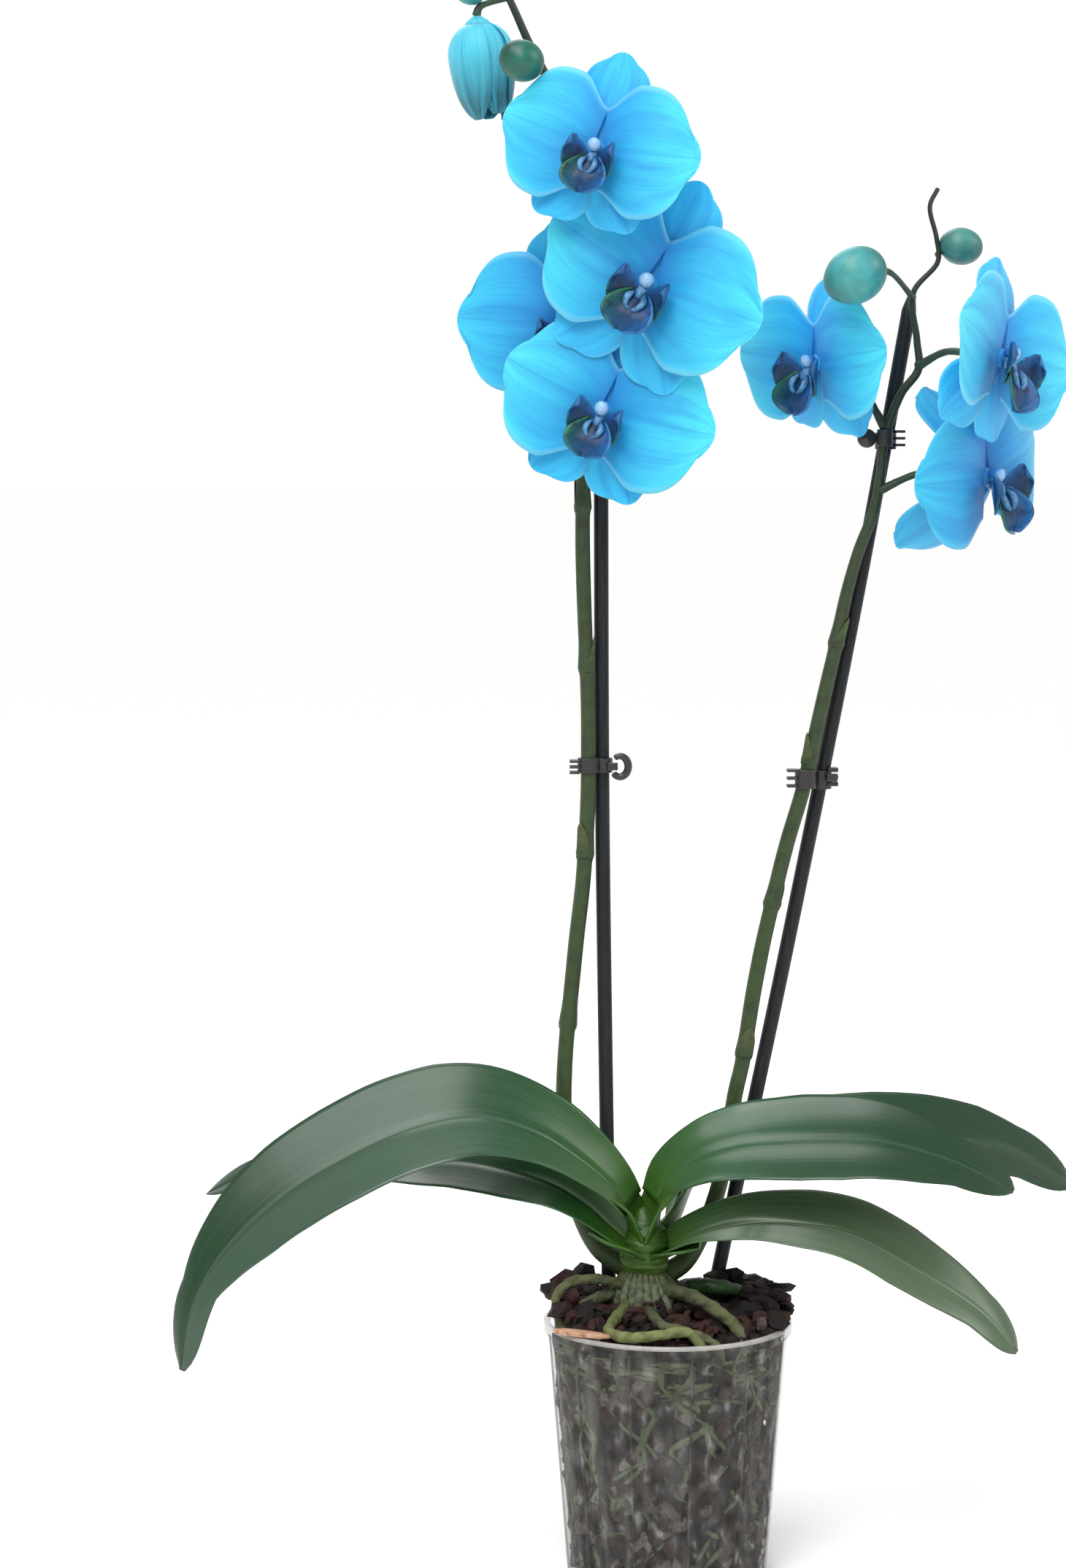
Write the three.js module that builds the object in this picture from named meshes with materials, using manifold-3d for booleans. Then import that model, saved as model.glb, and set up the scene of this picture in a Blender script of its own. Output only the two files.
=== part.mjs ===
// Multiflora moth orchid in a clear nursery pot, in millimetres, +Z up.
// The origin is the centre of the pot's base. +X is the viewer's right, and -Y is towards the viewer.
import * as THREE from 'three';
import { mergeVertices } from 'three/addons/utils/BufferGeometryUtils.js';
import Module from 'manifold-3d';

const wasm = await Module();
wasm.setup();

// Driving dimensions

const GAP = 0.3; // between pieces that touch
const TIDY = 0.14; // after a join, detail finer than this is merged
const BARK_TIDY = 0.28;
const DEGREE = Math.PI / 180;

const POT = {
  rimRadius: 60, topRadius: 58.2, baseRadius: 48, height: 125, rimHeight: 6, wall: 1.2, floor: 1.6,
  sides: 24, drainHoles: 6, drainRadius: 4, drainCircle: 30, drainSides: 8,
};
const FILL = {
  bottom: 2.2, edge: 119, mound: 136, bank: 8, moundCentre: [-6, 4], chunks: 10, chunkSize: 19, reach: 63,
  sides: 20, clearance: 2.6,
};
const STAKE = { radius: 3.5, foot: 16, sides: 8 };
const BLOOM = {
  petalLength: 55, petalWidth: 69, sepalLength: 52, lowSepalLength: 46, sepalWidth: 37, blade: 0.8, hub: 5,
  root: 2.5,
};
const LEAF_THICKNESS = 1.8;
const LEAF_ROWS = 11;
const LEAF_COLUMNS = 4;

const COLOUR = {
  pot: 0xc9c5c2, bark: 0x4a2a1e, chip: 0xc79a78, root: 0x8c9468, crown: 0x3e7a22, leaf: 0x274a30,
  stem: 0x536a3a, stake: 0x2e3238, clip: 0x33302f, petal: 0x3fc1f5, lip: 0x264892, column: 0xa9d8f7,
  bud: 0x3e9c93,
};

// Small tools

const vec = (x, y, z) => new THREE.Vector3(x, y, z);
const route = (points) => new THREE.CatmullRomCurve3(points.map((p) => vec(...p)), false, 'centripetal');

/** A repeatable draw of numbers from 0 to 1. */
function draws(seed) {
  let state = seed;
  return () => {
    state = (state * 1664525 + 1013904223) % 4294967296;
    return state / 4294967296;
  };
}

/** The value at u, from 0 to 1, of a list of values spread evenly along it. */
function along(values, u) {
  const place = Math.min(Math.max(u, 0), 1) * (values.length - 1);
  const i = Math.min(Math.floor(place), values.length - 2);
  return values[i] + (values[i + 1] - values[i]) * (place - i);
}

function smooth(from, to, x) {
  const t = Math.min(Math.max((x - from) / (to - from), 0), 1);
  return t * t * (3 - 2 * t);
}

function surface(positions, triangles) {
  const geometry = new THREE.BufferGeometry();
  geometry.setAttribute('position', new THREE.Float32BufferAttribute(positions, 3));
  geometry.setIndex(triangles);
  return geometry;
}

/** A closed solid for joins and cuts, from a closed geometry. */
function solid(geometry) {
  const bare = geometry.clone();
  bare.deleteAttribute('normal');
  bare.deleteAttribute('uv');
  const merged = mergeVertices(bare, 1e-4);
  const mesh = new wasm.Mesh({
    numProp: 3,
    vertProperties: Float32Array.from(merged.attributes.position.array),
    triVerts: Uint32Array.from(merged.index.array),
  });
  return new wasm.Manifold(mesh);
}

const joined = (geometries) => geometries.map(solid).reduce((sum, next) => sum.add(next));
const cutBy = (body, geometries) => geometries.reduce((left, tool) => left.subtract(solid(tool)), body);

/** The largest body of a solid: scraps that a cut leaves loose are dropped. */
function largest(body) {
  const parts = body.decompose();
  return parts.reduce((a, b) => (a.volume() > b.volume() ? a : b));
}

function geometryOf(body, tidy = TIDY) {
  const mesh = largest(body.simplify(tidy)).getMesh();
  return surface(Array.from(mesh.vertProperties), Array.from(mesh.triVerts));
}

const object = new THREE.Group();

function add(name, geometry, colour, roughness, parent = object, extra = {}) {
  const material = new THREE.MeshStandardMaterial({ color: colour, roughness, metalness: 0, ...extra });
  const mesh = new THREE.Mesh(geometry, material);
  mesh.name = name;
  parent.add(mesh);
  return mesh;
}

/**
 * A thin closed blade. place(s, t) gives the middle surface, with s from 0 to 1 along it and t from -1 to 1
 * across it. Both faces are split alike.
 */
function blade(place, rows, columns, thickness) {
  const step = 1e-3;
  const faces = [1, -1];
  const positions = [];
  for (const side of faces) {
    for (let i = 0; i <= rows; i++) {
      for (let j = 0; j <= columns; j++) {
        const s = i / rows;
        const t = -1 + (2 * j) / columns;
        const here = place(s, t);
        const sAway = Math.min(s, 1 - step);
        const tAway = Math.min(t, 1 - step);
        const down = place(sAway + step, t).sub(place(sAway, t));
        const across = place(s, tAway + step).sub(place(s, tAway));
        const normal = across.cross(down).normalize();
        const edge = typeof thickness === 'function' ? thickness(s, t) : thickness;
        positions.push(...here.addScaledVector(normal, (side * edge) / 2).toArray());
      }
    }
  }
  const width = columns + 1;
  const back = (rows + 1) * width;
  const triangles = [];
  for (let i = 0; i < rows; i++) {
    for (let j = 0; j < columns; j++) {
      const a = i * width + j;
      const [b, c, d] = [a + 1, a + width, a + width + 1];
      triangles.push(a, b, d, a, d, c);
      triangles.push(back + a, back + d, back + b, back + a, back + c, back + d);
    }
  }
  const rim = [];
  for (let j = 0; j < columns; j++) rim.push([j, j + 1]);
  for (let i = 0; i < rows; i++) rim.push([i * width + columns, (i + 1) * width + columns]);
  for (let j = columns; j > 0; j--) rim.push([rows * width + j, rows * width + j - 1]);
  for (let i = rows; i > 0; i--) rim.push([i * width, (i - 1) * width]);
  for (const [a, b] of rim) triangles.push(a, back + a, b, b, back + a, back + b);
  return surface(positions, triangles);
}

/**
 * A round rod along a curve, closed at both ends. radii is a list of values spread along it, or a function of
 * the share of its length, and stations is a number of equal steps, or a list of such shares.
 */
function rod(curve, radii, sides, stations, clearance = 0) {
  const fine = 400;
  const frames = curve.computeFrenetFrames(fine, false);
  const evenly = (count) => Array.from({ length: count + 1 }, (_, i) => i / count);
  const shares = Array.isArray(stations) ? stations : evenly(stations);
  const radiusAt = Array.isArray(radii) ? (share) => along(radii, share) : radii;
  const positions = [];
  const triangles = [];
  for (const share of shares) {
    const frame = Math.round(share * fine);
    const centre = curve.getPointAt(share);
    for (let k = 0; k < sides; k++) {
      const angle = (2 * Math.PI * k) / sides;
      const point = centre.clone()
        .addScaledVector(frames.normals[frame], (radiusAt(share) + clearance) * Math.cos(angle))
        .addScaledVector(frames.binormals[frame], (radiusAt(share) + clearance) * Math.sin(angle));
      positions.push(...point.toArray());
    }
  }
  const steps = shares.length - 1;
  for (let i = 0; i < steps; i++) {
    for (let k = 0; k < sides; k++) {
      const next = (k + 1) % sides;
      const [a, b] = [i * sides + k, i * sides + next];
      triangles.push(a, b, b + sides, a, b + sides, a + sides);
    }
  }
  const first = (steps + 1) * sides;
  positions.push(...curve.getPointAt(0).toArray(), ...curve.getPointAt(1).toArray());
  for (let k = 0; k < sides; k++) {
    const next = (k + 1) % sides;
    triangles.push(first, next, k);
    triangles.push(first + 1, steps * sides + k, steps * sides + next);
  }
  return surface(positions, triangles);
}


function turned(profile, sides) {
  const geometry = new THREE.LatheGeometry(profile.map(([r, z]) => new THREE.Vector2(r, z)), sides);
  geometry.rotateX(Math.PI / 2);
  return geometry;
}

// Stakes: straight rods in plain holes of the filling, the right one leaning out

const stakeRoutes = {
  left: route([[-26.6, 22, STAKE.foot], [-28.1, 22, 145], [-31.6, 20, 373], [-32.6, 19, 556]]),
  right: route([
    [0.6, 20, STAKE.foot], [25.8, 20, 146], [57.5, 19.5, 302], [91, 17.5, 478], [114.9, 16, 616],
  ]),
};
const stakeRod = (side, clearance = 0) =>
  rod(stakeRoutes[side], [STAKE.radius, STAKE.radius], STAKE.sides, 5, clearance);

// Flower stems, from the crown to the tip

const stemRoutes = {
  left: route([
    [-20, 4, 149], [-33, 8, 158], [-43, 12, 176], [-48.5, 15, 199], [-50.1, 17, 224], [-49.4, 18, 249],
    [-44.5, 18, 302], [-40.7, 17, 338], [-38.7, 15.5, 373], [-38.4, 15, 409], [-39.5, 15, 444],
    [-40.9, 15, 479], [-41.3, 15, 513], [-40.6, 16, 541], [-38.6, 17, 569], [-34.4, 18, 600],
    [-32.1, 18, 627.5],
    [-34.6, 14, 655], [-42, 8, 681.7], [-54.1, 1, 708], [-65.7, -3, 729.5], [-75.2, -6, 750],
    [-82.5, -8, 764],
  ]),
  right: route([
    [-1, 3, 146], [8, 7, 151], [15.5, 10, 162], [23.5, 12.5, 181.6], [29.1, 14, 206],
    [32.6, 14.5, 231], [36.4, 14, 249],
    [41.8, 13, 285], [48.9, 12, 320.5], [57.3, 11, 356], [64.5, 10.5, 381], [70.5, 10, 409],
    [78.3, 10, 444],
    [84.7, 10, 475], [90.1, 10, 494.5], [97.1, 9, 513.6], [100.1, 9, 531], [102, 9, 548], [109.2, 6, 569],
    [117.2, 5, 580.5], [116.4, 5, 594], [114.4, 4, 616.4], [125.7, 3, 631], [124.8, 2, 642],
    [121.5, 1, 656.7],
    [125.2, 1, 664.9],
  ]),
};
const stemRadii = {
  left: [5.6, 4.2, 3.9, 3.8, 3.8, 3.7, 3.7, 3.6, 3.5, 3.5, 3.4, 3.2, 2.8, 2.6, 2.4, 2, 1.5],
  right: [5.4, 4.2, 3.9, 3.8, 3.8, 3.8, 3.7, 3.7, 3.6, 3.5, 3.4, 3.2, 2.9, 2.4, 2.2, 2, 1.4, 1.2, 1.1],
};
// A stem's sections stand closer where it bends: shares of its length, each with the steps up to it.
const stemSteps = {
  left: [[0.1, 4], [0.62, 8], [1, 11]],
  right: [[0.1, 3], [0.7, 9], [1, 15]],
};

// Each joint is a thickened ring with a swelling above it, at a share of the stem's length.
const joints = { left: [0.2, 0.33, 0.47, 0.59], right: [0.215, 0.35, 0.48, 0.585] };
const JOINT = { below: 0.008, above: 0.022, ring: 1 };

function stemRadius(side, share) {
  const swelling = joints[side].map((at) =>
    (share < at ? 1 - (at - share) / JOINT.below : 1 - (share - at) / JOINT.above));
  return along(stemRadii[side], share) + JOINT.ring * Math.max(0, ...swelling);
}

function stemRod(side, clearance = 0) {
  const plain = [0];
  for (const [end, steps] of stemSteps[side]) {
    const start = plain[plain.length - 1];
    for (let i = 1; i <= steps; i++) plain.push(start + ((end - start) * i) / steps);
  }
  const atJoints = joints[side].flatMap((at) => [at - JOINT.below, at, at + JOINT.above]);
  const clear = plain.filter((share) => joints[side].every((at) => Math.abs(share - at) > 1.2 * JOINT.above));
  const stations = [...clear, ...atJoints].sort((a, b) => a - b);
  return rod(stemRoutes[side], (share) => stemRadius(side, share), 7, stations, clearance);
}

// Blooms: where each hub stands, which way it faces and how it is rolled, in degrees

const blooms = [
  { name: 'bloom_left_1', hub: [-35.3, -50.4, 679.2], yaw: -16, pitch: 4, roll: 14, size: 0.88,
    stem: [-43, 7, 684], lip: 1.1 },
  { name: 'bloom_left_2', hub: [-11.5, -37.4, 618.8], yaw: -13, pitch: 2, roll: 27, size: 1.01,
    stem: [-33.2, 16, 642], rise: 16, lip: 1.1 },
  { name: 'bloom_left_3', hub: [-31.5, -24.4, 560.5], yaw: -14, pitch: 1, roll: 20, size: 0.97,
    stem: [-40, 16.4, 551], rise: -4, lip: 1.05 },
  { name: 'bloom_left_4', hub: [-49.5, 1.5, 601], yaw: -12, pitch: 0, roll: -4, size: 0.96,
    stem: [-36, 17.7, 589], sweep: -4, lip: 1 },
  { name: 'bloom_right_1', hub: [69.5, 4, 583.5], yaw: -47, pitch: -4, roll: 10, size: 0.86,
    stem: [101.8, 9, 553], cup: 4, sweep: 8, lip: 1.25 },
  { name: 'bloom_right_2', hub: [150.3, -32.8, 585.5], yaw: 51, pitch: -2, roll: 14, size: 0.92,
    stem: [117, 5, 582], cup: 9, sweep: 6, lip: 1.25 },
  { name: 'bloom_right_3', hub: [147.5, -6.8, 530], yaw: 50, pitch: -4, roll: -12, size: 0.93,
    stem: [99, 9, 523], cup: -4, sweep: 28, low: [136, -148], lip: 1.25 },
];

function bloomMatrix({ hub, yaw, pitch, roll }) {
  return new THREE.Matrix4().makeRotationZ(yaw * DEGREE)
    .multiply(new THREE.Matrix4().makeRotationX((90 - pitch) * DEGREE))
    .multiply(new THREE.Matrix4().makeRotationZ(-roll * DEGREE))
    .premultiply(new THREE.Matrix4().makeTranslation(...hub));
}

// In a bloom's own frame Y is up and Z is out of its face. A tepal grows along Y before it is turned.

/** The share of its full width that a tepal has at u from its root to its tip: a claw, then a round end. */
function tepalWidth(u, { root, full, tip }) {
  const claw = root + (1 - root) * smooth(-0.05, full, u);
  const round = Math.sqrt(1 - Math.max(0, (u - full) / (1 - full)) ** 2.6);
  return Math.max(claw * round, u < full ? root : tip);
}

/** A petal, bent forward at its end by the bloom's cup. */
function petal(turn, { size, cup = 0 }, phase) {
  const length = BLOOM.petalLength * size;
  const half = (BLOOM.petalWidth / 2) * size;
  const place = (s, t) => {
    const u = (1 - Math.cos(Math.PI * s)) / 2;
    const share = tepalWidth(u, { root: 0.6, full: 0.38, tip: 0.36 });
    const ridge = Math.sin(Math.PI * u);
    const wave = 1.1 * size * Math.sin(2.6 * t + phase) * u * t * t;
    const roundTip = 5.5 * size * t * t * u * u;
    const dish = 1.7 + 3.6 * ridge - 1.5 * t * t * ridge - 1.4 * u ** 3 - 0.9 * (1 - t * t) * u;
    return vec(
      half * share * t,
      BLOOM.root + (length - BLOOM.root) * u - roundTip,
      dish * size + wave + cup * u * u,
    );
  };
  return blade(place, 5, 4, BLOOM.blade).rotateZ(turn * DEGREE);
}

/** A sepal, bent back along its length by the bloom's sweep, and shorter to the eye by as much. */
function sepal(turn, { size, sweep = 0 }, phase) {
  const length = (turn ? BLOOM.lowSepalLength : BLOOM.sepalLength) * size;
  const half = (BLOOM.sepalWidth / 2) * size;
  const shortened = 0.5 * (sweep / length) ** 2;
  const place = (s, t) => {
    const u = (1 - Math.cos(Math.PI * s)) / 2;
    const share = tepalWidth(u, { root: 0.45, full: 0.6, tip: 0.4 });
    const wave = 0.7 * size * Math.sin(2.2 * t + phase) * u * t * t;
    return vec(
      half * share * t,
      BLOOM.root + (length - BLOOM.root) * u * (1 - shortened * u) - 4 * size * t * t * u * u,
      (-0.9 - 3.4 * u - 1.6 * t * t * Math.sin(Math.PI * u)) * size + wave - sweep * u ** 1.5,
    );
  };
  return blade(place, 4, 2, BLOOM.blade).rotateZ(turn * DEGREE);
}

function tepals(bloom, seed) {
  const { size, low = [145, -145] } = bloom;
  const draw = draws(seed);
  const phase = () => draw() * 6;
  const hub = new THREE.CylinderGeometry(BLOOM.hub * size, BLOOM.hub * 0.8 * size, 5.1, 6);
  hub.rotateX(Math.PI / 2).translate(0, 0, 0.35);
  return geometryOf(joined([
    hub,
    sepal(0, bloom, phase()), sepal(low[0], bloom, phase()), sepal(low[1], bloom, phase()),
    petal(82, bloom, phase()), petal(-82, bloom, phase()),
  ]));
}

const HUB_BACK = -2.2;
const HUB_FRONT = 2.9;
const SEAT = HUB_FRONT + GAP + 0.5; // where the lip and the column start
const LIP_BLADE = 1;

/** The lip: a callus that stands on the hub, an arrow-shaped middle lobe, and two lobes that stand up. */
function lip(size) {
  const middle = (s, t) => {
    const u = s;
    const half = along([4, 7, 9.6, 10.6, 10, 7.4, 3], u) * size;
    const hang = -4 - 18 * u;
    return vec(half * t, hang * size, (6.2 + 6.5 * Math.sin(2.2 * u) + 2.2 * t * t * (1 - u)) * size);
  };
  const side = (sign) => (s, t) => {
    const out = sign * (1.7 + 11.8 * Math.sin(1.6 * s) - 1.2 * s * t * t);
    const half = along([2.4, 5.2, 6.6, 6, 3.4], s);
    return vec(
      out * size,
      (-6 + 3 * s + half * t) * size,
      (7 + 9 * s - 1.5 * s * t * t) * size,
    );
  };
  const callus = rod(route([[0, -3.4, SEAT], [0, -3.8, 5.6 * size], [0, -7.5 * size, 8.6 * size]]),
    [1.5 * size, 2.9 * size, 2.4 * size], 4, 2);
  const sideLobes = [side(1), side(-1)].map((place) => blade(place, 2, 2, LIP_BLADE));
  return geometryOf(joined([callus, blade(middle, 3, 2, LIP_BLADE), ...sideLobes]));
}

/** The column: a short rounded finger over the lip, on the hub. */
function column(size) {
  return rod(route([[0, 1.9, SEAT], [0, 2.2, 6.4 * size], [0, 0.8, 11.5 * size]]),
    [2 * size, 2.4 * size, 3.4 * size, 3.5 * size, 1.6 * size], 6, 4);
}

function addBloom(bloom, index) {
  const group = new THREE.Group();
  group.applyMatrix4(bloomMatrix(bloom));
  object.add(group);
  add(`${bloom.name}_petals`, tepals(bloom, 11 + index * 7), COLOUR.petal, 0.5, group);
  add(`${bloom.name}_lip`, lip(bloom.size * bloom.lip), COLOUR.lip, 0.45, group);
  add(`${bloom.name}_column`, column(bloom.size), COLOUR.column, 0.4, group);
}

/** The stalk of a bloom: out of the stem, over its own rise and in behind the hub, a gap short of it. */
function stalk(bloom) {
  const matrix = bloomMatrix(bloom);
  const end = vec(0, 0, HUB_BACK - GAP).applyMatrix4(matrix);
  const before = vec(0, 1, -13).applyMatrix4(matrix);
  const start = vec(...bloom.stem);
  const middle = start.clone().lerp(before, 0.5).add(vec(0, 0, bloom.rise ?? 4));
  return rod(route([start, middle, before, end].map((p) => p.toArray())), [2, 1.7, 1.7, 2.2, 3], 5, 5);
}

// Buds: egg shapes, each on its stalk

const buds = [
  { name: 'bud_left_1', centre: [-70.2, -42, 720.2], half: [10.6, 10, 9.6],
    turn: [0, 0.4, 0.3], stem: [-62, -2, 722], seat: [0.35, 0.8, -0.1] },
  { name: 'bud_left_2', centre: [-95.1, -10, 755.2], half: [8, 6.6, 6.2],
    turn: [0, 0.5, 0], stem: [-82, -8, 762.5], seat: [0.9, 0.1, 0.3] },
  { name: 'bud_right_1', centre: [83.6, -34, 623.1], half: [15.2, 12.6, 13.2],
    turn: [0, -0.5, 0], stem: [114.4, 4, 614], seat: [0.75, 0.62, 0.1] },
  { name: 'bud_right_2', centre: [136.5, 4, 638.2], half: [10.4, 9, 8.8],
    turn: [0, 0.15, 0], stem: [125.4, 3, 634], seat: [-1, 0, -0.35] },
];

function budMatrix({ centre, turn }) {
  return new THREE.Matrix4().makeRotationFromEuler(new THREE.Euler(...turn)).setPosition(...centre);
}

/** A bud, with three shallow seams where its sepals meet. */
function bud({ half, name }) {
  const geometry = new THREE.SphereGeometry(1, 12, 6);
  const position = geometry.attributes.position;
  for (let i = 0; i < position.count; i++) {
    const p = vec(position.getX(i), position.getY(i), position.getZ(i));
    const around = Math.atan2(p.y, p.z);
    const seam = 1 - 0.05 * Math.max(0, Math.cos(3 * around)) ** 4;
    const point = 1 - 0.1 * smooth(0.3, 1, -p.x) * Math.hypot(p.y, p.z);
    p.set(p.x * half[0], p.y * half[1] * seam * point, p.z * half[2] * seam * point);
    position.setXYZ(i, p.x, p.y, p.z);
  }
  return geometryOf(solid(geometry));
}

/** A bud's stalk, which ends a gap short of the bud's side that faces the stem. */
function budStalk(item) {
  const seat = vec(...item.seat).normalize();
  const local = seat.clone().applyMatrix4(new THREE.Matrix4().makeRotationFromEuler(
    new THREE.Euler(...item.turn)).transpose());
  const reach = 1 / Math.hypot(local.x / item.half[0], local.y / item.half[1], local.z / item.half[2]);
  const end = vec(...item.centre).addScaledVector(seat, reach + GAP);
  const start = vec(...item.stem);
  const before = end.clone().addScaledVector(seat, start.distanceTo(end) * 0.2);
  return rod(route([start, before, end].map((p) => p.toArray())), [1.6, 1.3, 1.6], 5, 4);
}

// The half-open bloom at the top left: five tepals cupped round its axis

const cup = {
  centre: [-88.2, -9, 718], length: 44, radius: 15, tilt: -7, base: 0.47, fullest: -0.18,
};

function cupMatrix() {
  return new THREE.Matrix4().makeRotationY(cup.tilt * DEGREE).setPosition(...cup.centre);
}

function cupGeometry() {
  const tepal = (index) => {
    const inner = (2 * index) % 5;
    const radius = cup.radius - 0.6 * inner;
    const middle = (index * 2 * Math.PI) / 5 + 0.3;
    const place = (s, t) => {
      const rise = -0.5 + s * (1.02 - 0.02 * inner);
      const steep = rise < cup.fullest ? 2.9 : 1.27; // the back closes, the mouth stays a little open
      const belly = Math.sqrt(1 - (steep * (rise - cup.fullest)) ** 2);
      const sweep = 0.86 * (1 - 0.45 * smooth(0.6, 1, s));
      const angle = middle + sweep * t;
      const flare = radius * belly * (1 + 0.05 * t * t);
      return vec(flare * Math.cos(angle), flare * Math.sin(angle), -rise * cup.length);
    };
    return blade((s, t) => place(s, -t), 4, 2, 0.8);
  };
  const base = new THREE.SphereGeometry(1, 6, 3).rotateX(Math.PI / 2).scale(6.5, 6.5, 5);
  base.translate(0, 0, cup.length * cup.base);
  return geometryOf(joined([base, ...[0, 1, 2, 3, 4].map(tepal)]));
}

function cupStalk() {
  const end = vec(0, 0, cup.length * cup.base + 5 + GAP).applyMatrix4(cupMatrix());
  const before = vec(2, 0, cup.length * cup.base + 9).applyMatrix4(cupMatrix());
  return rod(route([[-76.5, -6, 752.5], before.toArray(), end.toArray()]), [1.4, 1.4, 2.2], 5, 4);
}

// Flower stems with their stalks, each stem and its stalks grown in one piece

function spike(side) {
  const own = blooms.filter((b) => b.name.includes(side)).map(stalk);
  const budStalks = buds.filter((b) => b.name.includes(side)).map(budStalk);
  const extra = side === 'left' ? [cupStalk()] : [];
  return joined([stemRod(side), ...own, ...budStalks, ...extra]);
}

// Leaves: a middle line with, along it, the half width, the tilt of the blade and the depth of its channel

const leaves = [
  {
    name: 'leaf_left_front',
    line: [[-19, -5, 180.5], [-28, -7, 192], [-43, -9, 205], [-63, -12, 218], [-92, -15, 226.5],
      [-122.5, -18, 221.5], [-154, -21, 208], [-185, -23, 189], [-212.5, -25, 162.5], [-226, -26, 139],
      [-232.5, -26, 106]],
    half: [9, 14, 20, 26, 30, 30.5, 29.5, 27, 22.5, 15, 6.5, 2],
    tilt: [10, 28, 38, 40, 40, 42, 45, 50, 56, 60],
    channel: [3, 5, 4, 3, 2, 1, 0, -1],
  },
  {
    name: 'leaf_left_back',
    line: [[-17, -4.5, 161], [-28, -6.5, 171], [-40.4, -6.5, 182.5], [-55.1, -3, 191], [-77.7, 8, 196],
      [-97, 23, 197], [-120.2, 40, 194], [-148.2, 55, 190.5], [-177.8, 66, 185.5], [-205, 73, 181],
      [-228, 78, 170]],
    half: [6, 9.5, 13.5, 16.5, 18.5, 19, 19.5, 20, 19, 16, 11, 2.5],
    tilt: [50, 58, 58, 50, 38, 28, 22, 20, 18, 18],
    channel: [4, 4, 3, 3, 2, 1],
  },
  {
    name: 'leaf_right_front',
    line: [[-6, -5, 183], [1, -8, 197], [15, -12, 207], [34, -16, 213.5], [53, -20, 216],
      [76.6, -24, 217.5], [99.4, -28, 217], [129.9, -34, 209.5], [145.5, -37, 203], [161, -40, 195]],
    half: [9, 14, 19, 23, 25, 25, 23, 19, 13, 2.5],
    tilt: [10, 34, 44, 44, 42, 40, 38, 36],
    channel: [3, 5, 4, 3, 2, 1],
  },
  {
    name: 'leaf_right_back',
    line: [[3, 13, 172], [9, 30, 183], [20, 45, 191], [39.5, 51, 198], [68.6, 53, 203.6], [105, 57, 205],
      [133, 60, 203.5], [158.5, 64, 198.5], [179, 68, 191], [204, 72, 176]],
    half: [7, 9, 16, 23, 26, 27, 26, 24, 17, 2.5],
    tilt: [0, 14, 26, 28, 30, 32],
    channel: [2, 4, 4, 3, 2, 1],
  },
  {
    name: 'leaf_right_low',
    line: [[0, -6, 160], [11, -10, 167], [32.7, -15, 174], [54, -19, 175.5], [84.9, -25, 171.5],
      [116, -31, 156], [148, -37, 135.5], [163.5, -40, 118]],
    half: [8, 12, 16, 20, 22, 21, 17, 12, 2.5],
    tilt: [20, 34, 34, 32, 34, 38, 42],
    channel: [5, 4, 3, 2, 1, 0],
  },
];

function leaf({ line, half, tilt, channel }) {
  const curve = route(line);
  const side = line[0][0] < line[line.length - 1][0] ? 1 : -1; // keeps the upper face outward on both sides
  const place = (s, t) => {
    const middle = curve.getPointAt(s);
    const tangent = curve.getTangentAt(s);
    const level = vec(0, 1, 0).projectOnPlane(tangent).normalize();
    const upright = tangent.clone().cross(level);
    if (upright.z < 0) upright.negate();
    const lean = along(tilt, s) * DEGREE;
    const width = level.clone().multiplyScalar(Math.cos(lean)).addScaledVector(upright, Math.sin(lean));
    const normal = upright.clone().multiplyScalar(Math.cos(lean)).addScaledVector(level, -Math.sin(lean));
    const round = Math.sqrt(Math.max(0, 1 - Math.max(0, (s - 0.86) / 0.14) ** 2));
    const reach = Math.max(along(half, s), 0.86 < s ? along(half, 0.86) * round : 0);
    const wave = 1.2 * Math.sin(9 * s + 2 * t) * s * Math.abs(t);
    return middle.addScaledVector(width, Math.max(reach, 2) * t)
      .addScaledVector(normal, along(channel, s) * t * t + wave);
  };
  const body = (s, t) => LEAF_THICKNESS * (1.15 - 0.45 * t * t);
  return solid(blade((s, t) => place(s, side * t), LEAF_ROWS, LEAF_COLUMNS, body));
}

// Crown: the short green stem, with the clasping base of each leaf

const CROWN_FOOT = [-11, 1, 146];

function crown(clearance = 0) {
  const foot = vec(...CROWN_FOOT).add(vec(0, 0, -clearance));
  const sheaths = leaves.map(({ line }) => {
    const low = foot.clone().add(vec(0, 0, 3));
    const root = vec(...line[0]);
    const top = route(line).getPointAt(0.03);
    const middle = low.clone().lerp(root, 0.6).add(vec(0, 0, -2));
    const fold = route([low, middle, root, top].map((p) => p.toArray()));
    return rod(fold, [7.8, 7.4, 6.4, 5.2], 6, 3, clearance);
  });
  const core = rod(route([foot.toArray(), [-11, 1, 162], [-10, 1, 180]]), [9, 9.6, 7.4], 8, 3, clearance);
  const below = new THREE.BoxGeometry(60, 60, 30).translate(foot.x, foot.y, foot.z - 15);
  return joined([core, ...sheaths]).subtract(solid(below));
}

// Roots: a stock under the crown, thick roots over the filling and thinner ones down inside the pot wall

const innerRadius = (z) =>
  POT.baseRadius + ((POT.topRadius - POT.baseRadius) * z) / POT.height - POT.wall;

const STOCK_TOP = CROWN_FOOT[2] - GAP - 0.1;

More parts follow.
